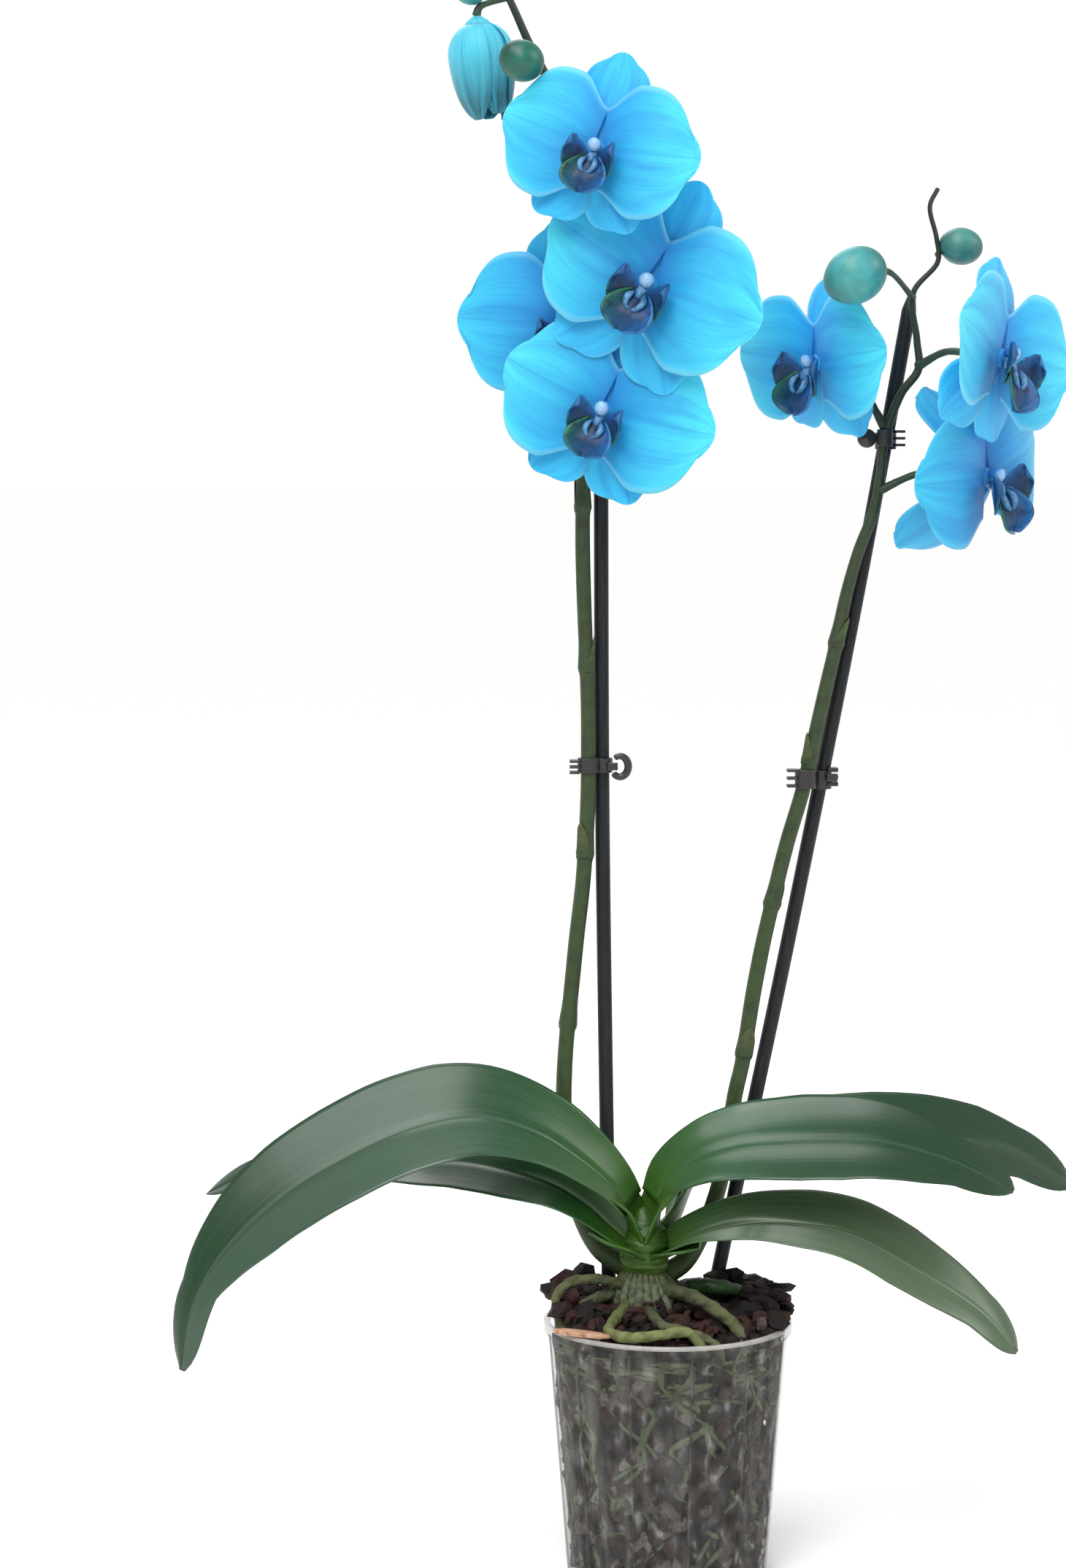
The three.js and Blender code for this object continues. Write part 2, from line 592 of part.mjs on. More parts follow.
const topRoots = [
  {
    line: [[-8, -4, 138], [1, -11, 141], [12, -19, 139.5], [22, -26, 135], [31, -30, 128],
      [35.5, -34, 118], [35, -34, 106]],
    radii: [4, 3.9, 3.6, 3.4, 3.2],
  },
  {
    line: [[-16, -6, 136], [-24, -22, 132], [-29, -38, 127.5], [-20, -46, 126.5], [-6, -47.5, 128],
      [8, -47, 129], [14, -50, 122], [13, -49, 110]],
    radii: [3.4, 3.1, 2.9, 2.8],
  },
  {
    line: [[-12, -8, 136], [-8, -24, 132], [-3, -36, 129.5], [10, -40, 127], [22, -44, 121],
      [24, -45, 110]],
    radii: [3.3, 2.8, 2.6],
  },
  {
    line: [[-16, -2, 137], [-31, -9, 138], [-44, -14, 132], [-49, -16, 121], [-47, -16, 108]],
    radii: [3.6, 3, 2.8],
  },
  {
    line: [[-4, 10, 136], [-2, 26, 136], [4, 38, 131], [10, 46, 122], [10, 45, 110]],
    radii: [3.4, 3, 2.8],
  },
  {
    line: [[-15, -4, 138], [-24, -9, 144], [-36, -12, 147], [-48, -14, 145.5], [-54, -15, 138],
      [-51, -15, 122]],
    radii: [3, 2.8, 2.6, 2.4],
  },
];

const WALL_ROOT = { depth: 3.7, radii: [2.8, 2, 1.8, 1.8, 1.7, 1.5] };

/** A root that leaves the stock, reaches the wall and winds down along it. */
function wallRoot(angle, depth, seed) {
  const draw = draws(seed);
  const points = [[-11, 0, 132]];
  const top = 112 - 6 * draw();
  const rows = 5;
  points.push([-11 + 26 * Math.cos(angle), -1 + 26 * Math.sin(angle), top + 8]);
  for (let i = 0; i < rows; i++) {
    const z = top - (depth * i) / (rows - 1);
    const turn = angle + 0.16 * Math.sin(i * 1.7 + seed) + 0.05 * i * (draw() - 0.5);
    const reach = innerRadius(z) - WALL_ROOT.depth;
    points.push([reach * Math.cos(turn), reach * Math.sin(turn), z]);
  }
  return { line: points, radii: WALL_ROOT.radii };
}

const wallRoots = [-150, -112, -78, -44, 20, 100].map((angle, index) =>
  wallRoot(angle * DEGREE, 82 + 4 * (index % 3), 3 + index));

function roots(clearance = 0) {
  const stock = turned([[0, 127 - clearance], [7 + clearance, 128 - clearance], [10 + clearance, 135],
    [8.5 + clearance, STOCK_TOP + clearance], [0, STOCK_TOP + clearance]], 12).translate(-12, 0, 0);
  const strands = [
    ...topRoots.map(({ line, radii }) => rod(route(line), radii, 5, 7, clearance)),
    ...wallRoots.map(({ line, radii }) => rod(route(line), radii, 4, 6, clearance)),
  ];
  return joined([stock, ...strands]);
}

// Pot: a tapered wall with a rolled rim, and a flat floor with drain holes round its middle

function pot() {
  const rimFoot = POT.height - POT.rimHeight;
  const inner = innerRadius(POT.height);
  const profile = [
    [0, 0], [POT.baseRadius, 0], [POT.topRadius - 0.5, rimFoot], [POT.rimRadius, rimFoot + 0.6],
    [POT.rimRadius, POT.height - 0.5], [POT.rimRadius - 0.6, POT.height], [inner, POT.height],
    [innerRadius(POT.floor), POT.floor], [0, POT.floor],
  ];
  const holes = Array.from({ length: POT.drainHoles }, (_, i) => {
    const angle = (2 * Math.PI * (i + 0.5)) / POT.drainHoles;
    const hole = new THREE.CylinderGeometry(POT.drainRadius, POT.drainRadius, 4 * POT.floor, POT.drainSides);
    const [x, y] = [POT.drainCircle * Math.cos(angle), POT.drainCircle * Math.sin(angle)];
    return hole.rotateX(Math.PI / 2).translate(x, y, POT.floor / 2);
  });
  return cutBy(solid(turned(profile, POT.sides)), holes);
}

// Filling: bark pressed into the pot, heaped round the crown, with chunks sunk in its top

function fillTop(x, y) {
  const [cx, cy] = FILL.moundCentre;
  const heap = 1 - smooth(0, 56, Math.hypot(x - cx, y - cy));
  const rough = 1.6 * Math.sin(x * 0.31 + 1) * Math.sin(y * 0.27 + 2);
  const bank = FILL.bank * smooth(24, 50, Math.abs(x)) * smooth(-35, -10, y);
  return FILL.edge + (FILL.mound - FILL.edge) * heap + bank + rough;
}

function fillBody() {
  const rings = 3;
  const { sides } = FILL;
  const low = innerRadius(FILL.bottom) - FILL.clearance;
  const positions = [0, 0, FILL.bottom];
  const ring = (radius, height) => {
    for (let k = 0; k < sides; k++) {
      const angle = (2 * Math.PI * k) / sides;
      const [x, y] = [radius * Math.cos(angle), radius * Math.sin(angle)];
      positions.push(x, y, height(x, y));
    }
  };
  ring(low, () => FILL.bottom);
  for (let i = rings; i > 0; i--) ring((innerRadius(FILL.edge) - FILL.clearance) * (i / rings), fillTop);
  positions.push(0, 0, fillTop(0, 0));
  const last = positions.length / 3 - 1;
  const triangles = [];
  for (let k = 0; k < sides; k++) {
    const next = (k + 1) % sides;
    triangles.push(0, 1 + next, 1 + k);
    for (let i = 0; i < rings; i++) {
      const [a, b] = [1 + i * sides + k, 1 + i * sides + next];
      triangles.push(a, b, b + sides, a, b + sides, a + sides);
    }
    triangles.push(last, 1 + rings * sides + k, 1 + rings * sides + next);
  }
  return surface(positions, triangles);
}

function chunks() {
  const draw = draws(41);
  const golden = Math.PI * (3 - Math.sqrt(5));
  return Array.from({ length: FILL.chunks }, (_, i) => {
    const reach = 12 + 41 * Math.sqrt((i + 0.5) / FILL.chunks);
    const angle = i * golden + 0.5;
    const [x, y] = [reach * Math.cos(angle), reach * Math.sin(angle)];
    const sizes = [1, 0.75, 0.5].map((share) => FILL.chunkSize * share * (0.75 + 0.6 * draw()));
    const side = Math.abs(x) > 30 ? 4.5 : 0;
    const piece = new THREE.BoxGeometry(...sizes);
    piece.rotateX(draw() - 0.5).rotateY(draw() - 0.5).rotateZ(draw() * 3.1);
    return piece.translate(x, y, fillTop(x, y) + 1 + side + 2 * draw());
  });
}

/** All that the filling may take up: the inside of the pot, and above the rim a little more. */
function fillRoom() {
  const lip = POT.height + GAP;
  const wall = (z) => innerRadius(z) - FILL.clearance;
  return turned(
    [[0, 0], [wall(0), 0], [wall(POT.height), lip], [FILL.reach, lip], [FILL.reach, 165], [0, 165]],
    FILL.sides);
}

function filling() {
  const heap = joined([fillBody(), ...chunks()]).intersect(solid(fillRoom()));
  const cleared = cutBy(heap, [
    stakeRod('left', GAP), stakeRod('right', GAP), stemRod('left', GAP), stemRod('right', GAP),
  ]);
  return cleared.subtract(roots(GAP)).subtract(crown(GAP));
}

// Clips: a ring round stem and stake, with teeth on one side and a round grip on the other

const CLIP = { sides: 9, wall: 1.3, knob: 4.6, knobReach: 9.5, toothReach: 6.6 };
const clips = [
  { name: 'clip_left', side: 'left', height: 391, wide: 7, grip: 1 },
  { name: 'clip_right_low', side: 'right', height: 386, wide: 9, grip: 1 },
  { name: 'clip_right_high', side: 'right', height: 548, wide: 8, grip: -1 },
];

/** The point of a curve at a height. */
function atHeight(curve, height) {
  let [low, high] = [0, 1];
  for (let i = 0; i < 30; i++) {
    const middle = (low + high) / 2;
    if (curve.getPointAt(middle).z < height) low = middle;
    else high = middle;
  }
  return { point: curve.getPointAt(low), share: low };
}

function clip({ side, height, wide, grip }) {
  const stem = atHeight(stemRoutes[side], height);
  const stake = atHeight(stakeRoutes[side], height);
  const stemReach = along(stemRadii[side], stem.share) + GAP + CLIP.wall;
  const stakeReach = STAKE.radius + GAP + CLIP.wall;
  const ringAt = (point, radius) => {
    const ring = new THREE.CylinderGeometry(radius, radius, wide, CLIP.sides);
    return ring.rotateX(Math.PI / 2).translate(point.x, point.y, point.z);
  };
  const middle = stem.point.clone().lerp(stake.point, 0.5);
  const [outer, inner] = [stem.point, stake.point].sort((a, b) => grip * (b.x - a.x));
  const gripCentre = vec(outer.x + grip * CLIP.knobReach, middle.y - 2, height);
  const knob = new THREE.CylinderGeometry(CLIP.knob, CLIP.knob, 4, CLIP.sides);
  knob.translate(gripCentre.x, gripCentre.y, height);
  const neck = new THREE.BoxGeometry(9, 3, 4).translate(outer.x + grip * 6, middle.y - 2, height);
  const teeth = [-1, 0, 1].map((row) => {
    const tooth = new THREE.BoxGeometry(5, 7, CLIP.wall);
    return tooth.translate(inner.x - grip * CLIP.toothReach, inner.y - 1, height + row * (wide / 2 - 0.8));
  });
  const bridge = new THREE.BoxGeometry(6, 8, wide).translate(middle.x, middle.y, height);
  const rings = [ringAt(stem.point, stemReach), ringAt(stake.point, stakeReach)];
  const shape = joined([...rings, bridge, knob, neck, ...teeth]);
  return cutBy(shape, [stemRod(side, GAP), stakeRod(side, GAP)]);
}

// One pale chip of wood, lying over the rim at the left

function woodChip() {
  const outline = new THREE.Shape();
  outline.moveTo(-14, -2.5);
  outline.lineTo(-3, -4.2);
  outline.lineTo(12, -2.6);
  outline.lineTo(15, 0.5);
  outline.lineTo(3, 3.8);
  outline.lineTo(-11, 2);
  outline.closePath();
  const chip = new THREE.ExtrudeGeometry(outline, { depth: 2.2, bevelEnabled: false });
  return chip.rotateZ(-0.5).translate(-42, -38, POT.height + GAP);
}

// The object

const spikes = { left: spike('left'), right: spike('right') };
const crownBody = crown();
const crownRoom = crown(GAP);

add('pot', geometryOf(pot()), COLOUR.pot, 0.15, object, { transparent: true, opacity: 0.35 });
add('bark', geometryOf(filling().subtract(solid(woodChip())), BARK_TIDY), COLOUR.bark, 0.95);
add('wood_chip', woodChip(), COLOUR.chip, 0.9);
add('roots', geometryOf(roots()), COLOUR.root, 0.7);
add('crown', geometryOf(crownBody), COLOUR.crown, 0.5);
for (const item of leaves) add(item.name, geometryOf(leaf(item).subtract(crownRoom)), COLOUR.leaf, 0.4);
for (const side of ['left', 'right']) {
  add(`spike_${side}`, geometryOf(spikes[side].subtract(crownRoom)), COLOUR.stem, 0.5);
  add(`stake_${side}`, stakeRod(side), COLOUR.stake, 0.5);
}
for (const item of clips) add(item.name, geometryOf(clip(item)), COLOUR.clip, 0.4);
blooms.forEach(addBloom);
add('bloom_left_opening', cupGeometry(), COLOUR.petal, 0.5).applyMatrix4(cupMatrix());
for (const item of buds) add(item.name, bud(item), COLOUR.bud, 0.5).applyMatrix4(budMatrix(item));

export default object;
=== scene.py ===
"""A moth orchid with dyed blue blooms in a clear nursery pot, dressed for a photograph.

Lengths are written in millimetres in the frame of the CAD model and become metres in one place. +X is the
viewer's right, +Z is up, and -Y is towards the viewer.
"""
import math

import bpy
import numpy as np
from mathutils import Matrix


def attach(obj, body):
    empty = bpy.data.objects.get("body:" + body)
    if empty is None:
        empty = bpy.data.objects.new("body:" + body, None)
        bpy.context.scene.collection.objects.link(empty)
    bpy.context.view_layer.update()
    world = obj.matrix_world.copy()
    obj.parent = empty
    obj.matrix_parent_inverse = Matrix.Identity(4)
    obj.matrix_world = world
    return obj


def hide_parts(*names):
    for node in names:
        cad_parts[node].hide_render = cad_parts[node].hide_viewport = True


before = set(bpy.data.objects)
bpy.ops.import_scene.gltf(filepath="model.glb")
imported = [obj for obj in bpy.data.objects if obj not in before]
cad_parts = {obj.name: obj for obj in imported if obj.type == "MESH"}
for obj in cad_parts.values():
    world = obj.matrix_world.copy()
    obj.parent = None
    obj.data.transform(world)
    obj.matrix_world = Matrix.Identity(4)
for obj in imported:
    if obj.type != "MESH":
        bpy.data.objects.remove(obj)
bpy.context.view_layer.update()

MM = 0.001

# Sizes that the solids share

GAP = 0.3
POT = {"rim": 60, "top": 58.2, "base": 48, "height": 125, "rim_height": 6, "wall": 1.2, "floor": 1.6}
FILL = {"edge": 119, "mound": 136, "bank": 15, "centre": (-6, 4)}
STAKE_RADIUS = 3.5
PETAL = {"length": 55, "width": 69, "root": 2.5}
SEPAL = {"length": 52, "low_length": 46, "width": 37}
LEAF = {"length": 300, "width": 50, "thickness": 1.8, "tip_start": 0.86}
HUB_BACK = -2.2
SEAT = 3.7


def wall_radius(z):
    return POT["base"] + (POT["top"] - POT["base"]) * z / POT["height"]


def inner_radius(z):
    return wall_radius(z) - POT["wall"]


# Camera and light

CAMERA = {"place": (-65, -1800, 554), "pitch": 5.395, "lens": 87.13, "sensor": 36}
SUN = {"strength": 2.0, "spread": 40, "turn": (24, -20, 0)}
LIGHT_TARGET = (0, 0, 0.42)
# The place of each softbox and its width in metres, and its power in watts
SOFTBOXES = {
    "key": ((-0.35, -1.65, 1.7), 0.8, 17),
    "right": ((1.4, -0.4, 1.4), 0.8, 10),
    "back": ((-0.3, 1.3, 1.7), 1.0, 10),
}


def show(name, data):
    """Puts a camera, a light or a mesh into the scene."""
    thing = bpy.data.objects.new(name, data)
    bpy.context.scene.collection.objects.link(thing)
    return thing


def set_camera():
    data = bpy.data.cameras.new("camera")
    data.sensor_fit = "AUTO"
    data.sensor_width = CAMERA["sensor"]
    data.lens = CAMERA["lens"]
    camera = show("camera", data)
    camera.location = [MM * value for value in CAMERA["place"]]
    camera.rotation_euler = (math.radians(90 - CAMERA["pitch"]), 0, 0)
    bpy.context.scene.camera = camera


def set_room():
    """A white room, darker overhead and behind the viewer."""
    world = bpy.data.worlds.new("studio")
    world.use_nodes = True
    room = Nodes(world.node_tree)
    background = room.tree.nodes["Background"].inputs
    background["Color"].default_value = (1, 1, 1, 1)
    way = room.add("ShaderNodeSeparateXYZ", {"Vector": room.add("ShaderNodeTexCoord")["Generated"]})
    overhead = room.span(way["Z"], 0.13, 0.45, 1.05, 0.6)
    behind = room.span(way["Y"], -0.5, 0.4, 0.5, 1.0)
    room.tree.links.new(room.worked("MULTIPLY", overhead, behind), background["Strength"])
    bpy.context.scene.world = world


def set_lights():
    """A soft sun, and softboxes in front, at the right and behind, turned to the middle of the plant."""
    sun = bpy.data.lights.new("soft_sun", "SUN")
    sun.energy = SUN["strength"]
    sun.angle = math.radians(SUN["spread"])
    show("soft_sun", sun).rotation_euler = [math.radians(angle) for angle in SUN["turn"]]
    for name, (place, width, power) in SOFTBOXES.items():
        data = bpy.data.lights.new(name, "AREA")
        data.size = width
        data.energy = power
        light = show(name, data)
        light.location = place
        away = np.array(place) - LIGHT_TARGET
        flat = math.hypot(away[0], away[1])
        light.rotation_euler = (math.atan2(flat, away[2]), 0, math.atan2(away[1], away[0]) + math.pi / 2)


# Nodes

def linear(code, alpha=1.0):
    """An sRGB hex colour as the linear colour that Blender works in."""
    def one(value):
        return value / 12.92 if value <= 0.04045 else ((value + 0.055) / 1.055) ** 2.4
    return tuple(one(int(code[i:i + 2], 16) / 255) for i in (1, 3, 5)) + (alpha,)


def per(millimetres):
    """The texture scale that repeats once in so many millimetres, in object coordinates."""
    return 1000 / millimetres


class Nodes:
    """The nodes of the room or of a material. Each kind has a method that returns what comes out of it."""

    def __init__(self, tree):
        self.tree = tree

    def add(self, kind, inputs=None, stops=(), **settings):
        """Adds a node. inputs maps a socket to a value or to another node's output, and stops fill a ramp."""
        node = self.tree.nodes.new(kind)
        for key, value in settings.items():
            setattr(node, key, value)
        for key, value in (inputs or {}).items():
            if isinstance(value, bpy.types.NodeSocket):
                self.tree.links.new(value, node.inputs[key])
            else:
                node.inputs[key].default_value = value
        if stops:
            elements = node.color_ramp.elements
            while len(elements) < len(stops):
                elements.new(0.5)
            for element, (place, code) in zip(elements, stops):
                element.position = place
                element.color = linear(code)
        return node.outputs

    def noise(self, vector, scale=1.0, detail=3.0, **more):
        return self.add("ShaderNodeTexNoise", {"Vector": vector, "Scale": scale, "Detail": detail, **more})[0]

    def ramp(self, value, stops):
        return self.add("ShaderNodeValToRGB", {"Fac": value}, stops)[0]

    def span(self, value, low, high, start=0.0, end=1.0):
        """Carries the range from low to high over to the range from start to end."""
        return self.add("ShaderNodeMapRange", {"Value": value, "From Min": low, "From Max": high,
                                               "To Min": start, "To Max": end})[0]

    def mix(self, share, colour, code):
        return self.add("ShaderNodeMixRGB", {"Fac": share, "Color1": colour, "Color2": linear(code)})[0]

    def worked(self, operation, *values):
        return self.add("ShaderNodeMath", dict(enumerate(values)), operation=operation)[0]


class Surface(Nodes):
    """A material with one Principled shader, which takes its plain values by name."""

    def __init__(self, name, **values):
        self.material = bpy.data.materials.new(name)
        self.material.use_nodes = True
        super().__init__(self.material.node_tree)
        self.shader = self.tree.nodes["Principled BSDF"].inputs
        for key, value in values.items():
            self.shader[key.replace("_", " ")].default_value = value

    def place(self):
        """The place on the piece's surface, and its shares along and across the piece."""
        place = self.add("ShaderNodeUVMap")["UV"]
        split = self.add("ShaderNodeSeparateXYZ", {"Vector": place})
        return place, split["X"], split["Y"]

    def spot(self):
        return self.add("ShaderNodeTexCoord")["Object"]

    def laid(self, place, piece, lengthwise, across):
        """The place counted in steps of so many millimetres along and across a piece."""
        scale = (piece["length"] / lengthwise, piece["width"] / across, 1.0)
        return self.add("ShaderNodeMapping", {"Vector": place, "Scale": scale})[0]

    def sized(self, x, y, z, turn=0.0):
        """Object coordinates counted in steps of so many millimetres each way."""
        return self.add("ShaderNodeMapping", {"Vector": self.spot(), "Rotation": (0, 0, turn),
                                              "Scale": (per(x), per(y), per(z))})[0]

    def finish(self, colour, height=None, strength=0.0, relief=0.0):
        """Gives the shader its colour, and a bump whose relief is in millimetres."""
        self.tree.links.new(colour, self.shader["Base Color"])
        if height is not None:
            bump = self.add("ShaderNodeBump", {"Height": height, "Strength": strength,
                                               "Distance": relief * MM})
            self.tree.links.new(bump["Normal"], self.shader["Normal"])
        return self.material


# Materials

def petal_material(name, deep, main, light, rim, vein, rim_share=0.38):
    """Dyed living petal: matt, a faint silk sheen, a thin pale edge, and fine veins that fan to the edge."""
    skin = Surface(name, Roughness=0.5, Specular_IOR_Level=0.35, Sheen_Weight=0.12, Subsurface_Weight=0.18,
                   Subsurface_Scale=0.004, Subsurface_Radius=(0.3, 0.8, 1.0))
    place, lengthwise, across = skin.place()
    # Darker towards the foot: the dye's own deeper blue, with painted shade where the petals meet at the
    # middle
    colour = skin.ramp(lengthwise, [(0.0, deep), (0.3, main), (0.8, light), (1.0, light)])
    streaks = {0: skin.laid(place, PETAL, 42.307692, 8.625), 1: skin.sized(60, 60, 60)}
    cloud = skin.noise(skin.add("ShaderNodeVectorMath", streaks, operation="ADD")[0])
    colour = skin.mix(skin.span(cloud, 0.4, 0.68, 0.0, 0.42), colour, deep)
    veins = skin.noise(skin.laid(place, PETAL, 36.666667, 1.642857))
    colour = skin.mix(skin.span(veins, 0.48, 0.8, 0.0, 0.4), colour, vein)
    away = skin.worked("ABSOLUTE", skin.worked("SUBTRACT", across, 0.5))
    # A dark line down the middle: the middle vein in the vein colour, and painted shade in the crease
    colour = skin.mix(skin.span(away, 0.0, 0.022, 0.35, 0.0), colour, vein)
    edge = skin.worked("MAXIMUM", skin.span(away, 0.445, 0.5), skin.span(lengthwise, 0.93, 1.0))
    colour = skin.mix(skin.worked("MULTIPLY", edge, rim_share), colour, rim)
    return skin.finish(colour, veins, 0.25, 0.6)


def lip_material():
    """Waxy lip: navy with a green edge, a brighter blue one and dark patches, glossy in small spots."""
    skin = Surface("waxy_lip_petal", Roughness=0.4, Specular_IOR_Level=0.3, Subsurface_Weight=0.08,
                   Subsurface_Scale=0.002)
    lengthwise, across = skin.place()[1:]
    colour = skin.ramp(across, [(0.0, "#2C6A4C"), (0.12, "#10484E"), (0.4, "#0A2E50"), (0.68, "#0A3560"),
                                (0.92, "#10508A"), (1.0, "#2C6CA0")])
    cloud = skin.noise(skin.spot(), per(3.5), 4.0)
    colour = skin.mix(skin.span(cloud, 0.5, 0.68, 0.0, 0.7), colour, "#081630")
    colour = skin.mix(skin.span(lengthwise, 0.55, 1.0, 0.0, 0.45), colour, "#1A5C94")
    return skin.finish(colour, cloud, 0.4, 0.6)


def column_material():
    """Waxy column with its anther cap: blue, and paler towards its end."""
    skin = Surface("waxy_column", Roughness=0.3, Subsurface_Weight=0.2, Subsurface_Scale=0.003)
    stops = [(0.0, "#1E5CA4"), (0.5, "#4080C0"), (0.8, "#74A6D4"), (1.0, "#8CB4D8")]
    return skin.finish(skin.ramp(skin.place()[1], stops))


def bud_material(name, ends, belly, patch):
    """Unopened bud, dyed: waxy teal green, lighter on its belly and darker at both ends."""
    skin = Surface(name, Roughness=0.42, Subsurface_Weight=0.15, Subsurface_Scale=0.004)
    spot = skin.spot()
    colour = skin.ramp(skin.place()[1], [(0.0, ends), (0.3, belly), (0.66, belly), (1.0, ends)])
    colour = skin.mix(skin.span(skin.noise(spot, per(6)), 0.4, 0.7, 0.0, 0.5), colour, patch)
    return skin.finish(colour, skin.noise(spot, per(1.2), 2.0), 0.15, 0.4)


def leaf_material(name, dark, main, pale, near=0.0):
    """Thick waxy leaf: deep green with a soft shine, faint veins, a pale middle and a yellow-green base.

    near is how much of the pale colour the half towards the viewer takes on, as a painted sheen.
    """
    skin = Surface(name, Roughness=0.32, Specular_IOR_Level=0.4, Coat_Weight=0.1, Coat_Roughness=0.18)
    place, lengthwise, across = skin.place()
    stops = [(0.0, "#33560F"), (0.1, "#28501A"), (0.26, main), (0.7, dark), (1.0, dark)]
    colour = skin.ramp(lengthwise, stops)
    veins = skin.noise(skin.laid(place, LEAF, 187.5, 1.0869565))
    colour = skin.mix(skin.span(veins, 0.45, 0.75, 0.0, 0.25), colour, pale)
    colour = skin.mix(skin.span(skin.noise(skin.spot(), per(30)), 0.4, 0.7, 0.0, 0.4), colour, dark)
    # Painted sheen: the half towards the viewer turns paler, from a little way past the leaf's foot
    half = skin.span(across, 0.46, 0.62, 0.0, near)
    colour = skin.mix(skin.worked("MULTIPLY", half, skin.span(lengthwise, 0.2, 0.45)), colour, pale)
    away = skin.worked("ABSOLUTE", skin.worked("SUBTRACT", across, 0.5))
    colour = skin.mix(skin.span(away, 0.0, 0.03, 0.45, 0.0), colour, pale)
    return skin.finish(colour, veins, 0.1, 0.8)


def grown_material(name, stops, patch, patch_size, roughness=0.5, relief=0.6, grain=1.5):
    """Grown plant skin: a colour along its length, patches of another, and a fine uneven surface."""
    skin = Surface(name, Roughness=roughness, Specular_IOR_Level=0.4)
    spot = skin.spot()
    patches = skin.span(skin.noise(spot, per(patch_size), 4.0), 0.45, 0.68, 0.0, 0.7)
    colour = skin.mix(patches, skin.ramp(skin.place()[1], stops), patch)
    return skin.finish(colour, skin.noise(spot, per(grain)), 0.5, relief)


def pot_material():
    """Clear moulded polypropylene, a little clouded: seen through, a soft gloss, and painted upright glints.
    """
    skin = Surface("clear_moulded_polypropylene", Roughness=0.2, IOR=1.49, Specular_IOR_Level=0.2, Alpha=0.36)
    haze = skin.noise(skin.sized(5, 5, 9))
    colour = skin.ramp(haze, [(0.3, "#3A3836"), (0.52, "#5A5856"), (0.62, "#747270"), (0.72, "#B4B2B0")])
    # Pale upright streaks: painted reflections on the wall
    painted_glint_streaks = skin.noise(skin.sized(11, 11, 90), detail=2.0)
    colour = skin.mix(skin.span(painted_glint_streaks, 0.5, 0.72, 0.0, 0.6), colour, "#A6A8A2")
    return skin.finish(colour, haze, 0.2, 0.6)


def rim_material():
    """The same plastic where it is thick, at the lip: whiter and less clear."""
    skin = Surface("clouded_moulded_polypropylene", Roughness=0.22, IOR=1.49, Alpha=0.6)
    return skin.finish(skin.ramp(skin.noise(skin.spot(), per(8)), [(0.3, "#A8A4A2"), (0.7, "#C4C0BE")]))


def stake_material():
    """Rod in a moulded polyethylene coat: dark slate grey with a dull shine and faint lengthwise scuffs."""
    skin = Surface("polyethylene_coated_rod", Roughness=0.5, IOR=1.5, Specular_IOR_Level=0.3)
    scuff = skin.noise(skin.sized(1.4, 1.4, 18))
    colour = skin.ramp(scuff, [(0.3, "#0C0E10"), (0.55, "#14171A"), (0.8, "#23272C")])
    return skin.finish(colour, scuff, 0.2, 0.3)


def clip_material():
    """Injection-moulded nylon clip: near black with a soft, slightly uneven shine."""
    skin = Surface("moulded_nylon", Roughness=0.38, IOR=1.53)
    grain = skin.noise(skin.spot(), per(0.9), 2.0)
    return skin.finish(skin.ramp(grain, [(0.3, "#1C191A"), (0.7, "#2B2727")]), grain, 0.15, 0.2)


def bark_material():
    """Damp pine bark chips: each chip its own brown, flaky layers across it, dull, a few glints painted pale
    grey.
    """
    skin = Surface("damp_pine_bark", Roughness=0.8, Specular_IOR_Level=0.35)
    # The grey end of the tones, which a few chips take, is painted glints
    colour = skin.ramp(skin.place()[1], [(0.0, "#0A0706"), (0.4, "#1A0F0D"), (0.62, "#38191A"),
                                         (0.82, "#3E241E"), (1.0, "#8E8680")])
    flakes = skin.noise(skin.spot(), per(3.2), 4.0, Roughness=0.6)
    colour = skin.mix(skin.span(flakes, 0.35, 0.7, 0.0, 0.65), colour, "#170D09")
    return skin.finish(colour, flakes, 0.7, 1.4)


def chip_material():
    """Freshly split pale wood, peach coloured, with straight grain."""
    skin = Surface("split_pale_wood", Roughness=0.7)
    grain = skin.noise(skin.sized(14, 1.2, 1.2, turn=0.5), detail=4.0)
    colour = skin.ramp(grain, [(0.3, "#7E5A44"), (0.5, "#B08468"), (0.75, "#CCA88C")])
    return skin.finish(colour, grain, 0.5, 0.6)


def floor_material():
    """Matt white studio floor."""
    skin = Surface("matt_white_board", Roughness=0.9, Specular_IOR_Level=0.1)
    skin.shader["Base Color"].default_value = linear("#FBFBFA")
    return skin.material


